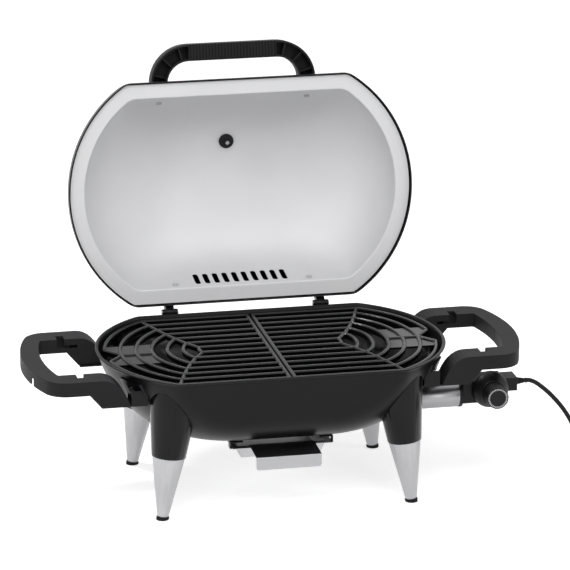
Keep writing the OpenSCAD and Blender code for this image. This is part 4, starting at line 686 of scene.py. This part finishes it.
piece_from(punched(bowl, bowl_tools), "bowl_pressing", "bowl_enamel", "base", to_frame, "bowl")

# %% [markdown]
# ## Pull plate of the drip tray
# The plate is cut from thin brushed steel and folded down at the front, so a strip is drawn
# first and bent by adding its corner points. Beveling the fold and the two free corners gives
# the bend radius and the rounded corners; the sheet gets its thickness last.

# %% Folded plate
PULL_LEVEL, PULL_FALL = 10.5, 2.4
CORNER_R, FOLD_R, PULL_SHEET = 4, 1.6, 1.0
NEAR = 0.1

pull_low, pull_high = [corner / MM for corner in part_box("tray_pull")]
pull_back, pull_front, pull_top = pull_high.y, pull_low.y, pull_high.z
side_view = [
    (pull_back, pull_top), (pull_back - PULL_LEVEL, pull_top),
    (pull_front, pull_top - PULL_FALL), (pull_front, pull_low.z),
]
plate = bmesh.new()
strip = [plate.verts.new((pull_low.x, y, z)) for y, z in side_view]
strip_edges = [plate.edges.new(pair) for pair in zip(strip, strip[1:])]
drawn = bmesh.ops.extrude_edge_only(plate, edges=strip_edges)["geom"]
far_side = [g for g in drawn if isinstance(g, bmesh.types.BMVert)]
bmesh.ops.translate(plate, verts=far_side, vec=(pull_high.x - pull_low.x, 0, 0))
corners = [v for v in plate.verts if v.co.z < pull_low.z + NEAR]
bmesh.ops.bevel(
    plate, geom=corners, offset=CORNER_R, affect="VERTICES", segments=6, profile=0.5, material=-1,
)
folds = [
    e for e in plate.edges
    if len(e.link_faces) == 2 and all(abs(v.co.y - pull_front) < NEAR for v in e.verts)
]
bmesh.ops.bevel(
    plate, geom=folds, offset=FOLD_R, affect="EDGES", segments=5, profile=0.5, material=-1,
)
bmesh.ops.recalc_face_normals(plate, faces=plate.faces)
if sum(f.normal.z * f.calc_area() for f in plate.faces) < 0:
    bmesh.ops.reverse_faces(plate, faces=plate.faces)
bmesh.ops.solidify(plate, geom=plate.faces[:], thickness=PULL_SHEET)
in_metres = Matrix.Scale(MM, 4)
piece_from(plate, "pull_plate", "pull", "drip_tray", in_metres, "tray_pull", sharp=40)

# %% [markdown]
# ## Strain relief
# Where the lead leaves its box, a rubber sleeve keeps it from kinking: a collar, a few grooves
# that let it bend, and a taper down to the cord. Spinning its section about the cord's axis
# makes it in one go; the hole through it hugs the cord.

# %% Ribbed sleeve
RIBS, RIB_PITCH, RIB_START = 4, 2.6, 8.4
RIB_R, RIB_TAPER, GROOVE = 5.6, 0.45, 0.9
BORE_R = 3.6

collar = [(0, 4), (0, 6), (2.2, 6), (2.2, 4.8), (5.2, 4.8), (5.2, 6), (RIB_START, 6)]
rib_steps = [(0.4, 0), (1.7, 0), (2.0, GROOVE), (2.6, GROOVE)]
ribs = [
    (RIB_START + RIB_PITCH * i + step, RIB_R - RIB_TAPER * i - dip)
    for i in range(RIBS)
    for step, dip in rib_steps
]
end = [(23.6, 4.1), (23.6, BORE_R), (0, BORE_R)]
relief_low, relief_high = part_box("strain_relief")
relief_middle = (relief_low + relief_high) / 2
relief_spot = (relief_low.x / MM, (relief_middle.y + SHIFT_Y) / MM, relief_middle.z / MM)
sleeve = bmesh.new()
section = [sleeve.verts.new((x, 0, r)) for x, r in collar + ribs + end]
section_edges = [sleeve.edges.new(pair) for pair in zip(section, section[1:] + section[:1])]
bmesh.ops.spin(
    sleeve, geom=section + section_edges, axis=(1, 0, 0), angle=2 * math.pi, steps=40,
    use_merge=True,
)
bmesh.ops.remove_doubles(sleeve, verts=sleeve.verts, dist=0.001)
bmesh.ops.recalc_face_normals(sleeve, faces=sleeve.faces)
bmesh.ops.translate(sleeve, verts=sleeve.verts, vec=relief_spot)
piece_from(
    sleeve, "ribbed_relief", "cord_rubber", "heat_control", to_frame, "strain_relief", sharp=50,
)

# %% [markdown]
# ## Dial marks
# The ring in the knob's face and the thermometer's dial carry short marks all round. They are
# worked out from the angle and the distance about the part's own axis, so they need no picture
# and stay sharp: a Mapping node turns that axis upright, and a few Math nodes pick out the
# marks.


# %% Marks round an axis
def math_node(tree, operation, *values):
    """The result of a Math node, from sockets or plain numbers."""
    node = tree.nodes.new("ShaderNodeMath")
    node.operation = operation
    for socket, value in zip(node.inputs, values):
        if isinstance(value, bpy.types.NodeSocket):
            tree.links.new(value, socket)
        else:
            socket.default_value = value
    return node.outputs[0]


def add_marks(made, centre, axis, count, share, inner, outer, colour):
    """Paints count marks between two radii about an axis, each taking a share of its step."""
    tree = made.node_tree
    upright = Vector(axis).rotation_difference(Vector((0, 0, 1)))
    turned = tree.nodes.new("ShaderNodeMapping")
    turned.inputs["Rotation"].default_value = upright.to_euler()
    turned.inputs["Location"].default_value = -(upright @ Vector(centre))
    where = tree.nodes.new("ShaderNodeTexCoord")
    tree.links.new(where.outputs["Object"], turned.inputs["Vector"])
    parts = tree.nodes.new("ShaderNodeSeparateXYZ")
    tree.links.new(turned.outputs["Vector"], parts.inputs["Vector"])
    x, y = parts.outputs["X"], parts.outputs["Y"]

    turns = math_node(tree, "MULTIPLY", math_node(tree, "ARCTAN2", y, x), count / (2 * math.pi))
    on_mark = math_node(tree, "LESS_THAN", math_node(tree, "FRACT", turns), share)
    x_part = math_node(tree, "MULTIPLY", x, x)
    y_part = math_node(tree, "MULTIPLY", y, y)
    away = math_node(tree, "SQRT", math_node(tree, "ADD", x_part, y_part))
    past_inner = math_node(tree, "GREATER_THAN", away, inner)
    in_band = math_node(tree, "MULTIPLY", past_inner, math_node(tree, "LESS_THAN", away, outer))

    shader = tree.nodes["Principled BSDF"]
    ground_colour = shader.inputs["Base Color"].links[0].from_socket
    mix = tree.nodes.new("ShaderNodeMix")
    mix.data_type = "RGBA"
    tree.links.new(math_node(tree, "MULTIPLY", on_mark, in_band), mix.inputs["Factor"])
    tree.links.new(ground_colour, mix.inputs["A"])
    mix.inputs["B"].default_value = (*colour, 1)
    tree.links.new(mix.outputs["Result"], shader.inputs["Base Color"])


# %% Knob ring and thermometer dial
KNOB_MARKS, KNOB_SHARE, KNOB_INK = 36, 0.38, (0.012, 0.012, 0.012)
DIAL_MARKS, DIAL_SHARE, DIAL_INK = 30, 0.22, (0.02, 0.02, 0.02)
MARK_START, MARK_END = 0.74, 0.92
WHOLE_RING = (0, 1)  # radii in metres that take in all of the ring
LENS_ALPHA = 0.15

ring = finish("dial_ring", (0.34, 0.34, 0.35), 0.3, metal=1.0)
ring_low, ring_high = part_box("knob_ring")
ring_middle = (ring_low + ring_high) / 2
add_marks(ring, ring_middle, (0, -1, 0), KNOB_MARKS, KNOB_SHARE, *WHOLE_RING, KNOB_INK)
nodes["knob_ring"].material_slots[0].material = ring
needle = next(j for j in frame["joints"] if j["name"] == "thermometer_needle_turn")
dial_low, dial_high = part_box("thermometer_dial")
dial_r = (dial_high.x - dial_low.x) / 2
add_marks(
    finishes["dial_face"], needle["pos_m"], needle["axis"], DIAL_MARKS, DIAL_SHARE,
    dial_r * MARK_START, dial_r * MARK_END, DIAL_INK,
)
finishes["lens"].node_tree.nodes["Principled BSDF"].inputs["Alpha"].default_value = LENS_ALPHA
for name in ("lid_handle_screws", "hinge_lid_screws"):
    nodes[name].material_slots[0].material = finishes["polished_steel"]
print("dial radius", round(dial_r / MM, 1), "mm")

# %% [markdown]
# ## The table
# A pale floor carries the shadow. To the camera and in reflections it also glows, just enough
# to be white, while the lamps stay at a plain level, so that pale metal keeps its tone. A Light
# Path node tells such rays from the rays that carry light between surfaces.

# %% Floor
FLOOR_HALF_SIZE = 14
FLOOR_DROP = 0.0005
FLOOR_GLOW = 0.68


def ray_is(tree, *kinds):
    """1 for a ray of any of these kinds, and 0 for the others."""
    path = tree.nodes.new("ShaderNodeLightPath")
    found = path.outputs[f"Is {kinds[0]} Ray"]
    for kind in kinds[1:]:
        found = math_node(tree, "MAXIMUM", found, path.outputs[f"Is {kind} Ray"])
    return found


def white_floor():
    """A matt white that glows for the camera and for reflections."""
    made = bpy.data.materials.new("floor_white")
    made.use_nodes = True
    tree = made.node_tree
    shader = tree.nodes["Principled BSDF"]
    shader.inputs["Base Color"].default_value = (0.86, 0.86, 0.86, 1)
    shader.inputs["Roughness"].default_value = 0.9
    shader.inputs["Specular IOR Level"].default_value = 0.1
    glow = tree.nodes.new("ShaderNodeEmission")
    level = math_node(tree, "MULTIPLY", ray_is(tree, "Camera", "Glossy"), FLOOR_GLOW)
    tree.links.new(level, glow.inputs["Strength"])
    both = tree.nodes.new("ShaderNodeAddShader")
    tree.links.new(shader.outputs["BSDF"], both.inputs[0])
    tree.links.new(glow.outputs["Emission"], both.inputs[1])
    tree.links.new(both.outputs["Shader"], tree.nodes["Material Output"].inputs["Surface"])
    return made


floor_form = bmesh.new()
bmesh.ops.create_grid(floor_form, x_segments=1, y_segments=1, size=FLOOR_HALF_SIZE)
floor = plain_object("floor", floor_form)
floor.location.z = -FLOOR_DROP
floor.data.materials.append(white_floor())
print("floor", 2 * FLOOR_HALF_SIZE, "m wide")

# %% [markdown]
# ## The light
# Dark enamel shows its shape only by what it mirrors, so the lamps are few and placed for their
# reflections: a large one above, a small bright one behind for the sparks on the rim and the
# grate, and tall narrow ones at the sides and in front, which draw lines down the legs. The sky
# is white where it is seen, but lights the grill only dimly, so that the shadows stay.

# %% Lamps and sky
GRILL_MIDDLE = Vector((0, 0, 0.25))
SKY_LIGHT, SKY_SEEN = 0.3, 1.0


def softbox(name, spot, size, power):
    """A lamp with a flat face that looks at the grill's middle."""
    data = bpy.data.lights.new(name, "AREA")
    data.shape = "RECTANGLE"
    data.size, data.size_y = size
    data.energy = power
    lamp = bpy.data.objects.new(name, data)
    lamp.location = spot
    lamp.rotation_euler = (GRILL_MIDDLE - Vector(spot)).to_track_quat("-Z", "Y").to_euler()
    bpy.context.scene.collection.objects.link(lamp)


softbox("top_light", (-0.4, -2.0, 2.9), (2.4, 1.6), 42)
softbox("spark_light", (-1.1, 0.9, 2.4), (0.3, 0.3), 24)
softbox("left_light", (-2.8, -1.8, 1.5), (0.35, 1.8), 15)
softbox("right_light", (2.8, -1.2, 1.3), (0.4, 1.8), 10)
softbox("front_strip", (1.0, -3.6, 1.1), (0.16, 1.5), 7)
sky = bpy.data.worlds.new("sky")
bpy.context.scene.world = sky
sky.use_nodes = True
sky_tree = sky.node_tree
sky_shader = sky_tree.nodes["Background"]
strength = sky_tree.nodes.new("ShaderNodeMapRange")
strength.inputs["To Min"].default_value = SKY_LIGHT
strength.inputs["To Max"].default_value = SKY_SEEN
seen = ray_is(sky_tree, "Camera", "Transmission", "Glossy")
sky_tree.links.new(seen, strength.inputs["Value"])
sky_tree.links.new(strength.outputs["Result"], sky_shader.inputs["Strength"])
sky_shader.inputs["Color"].default_value = (1, 1, 1, 1)
bpy.context.scene.view_settings.view_transform = "Standard"

# %% Update the view layer
bpy.context.view_layer.update()
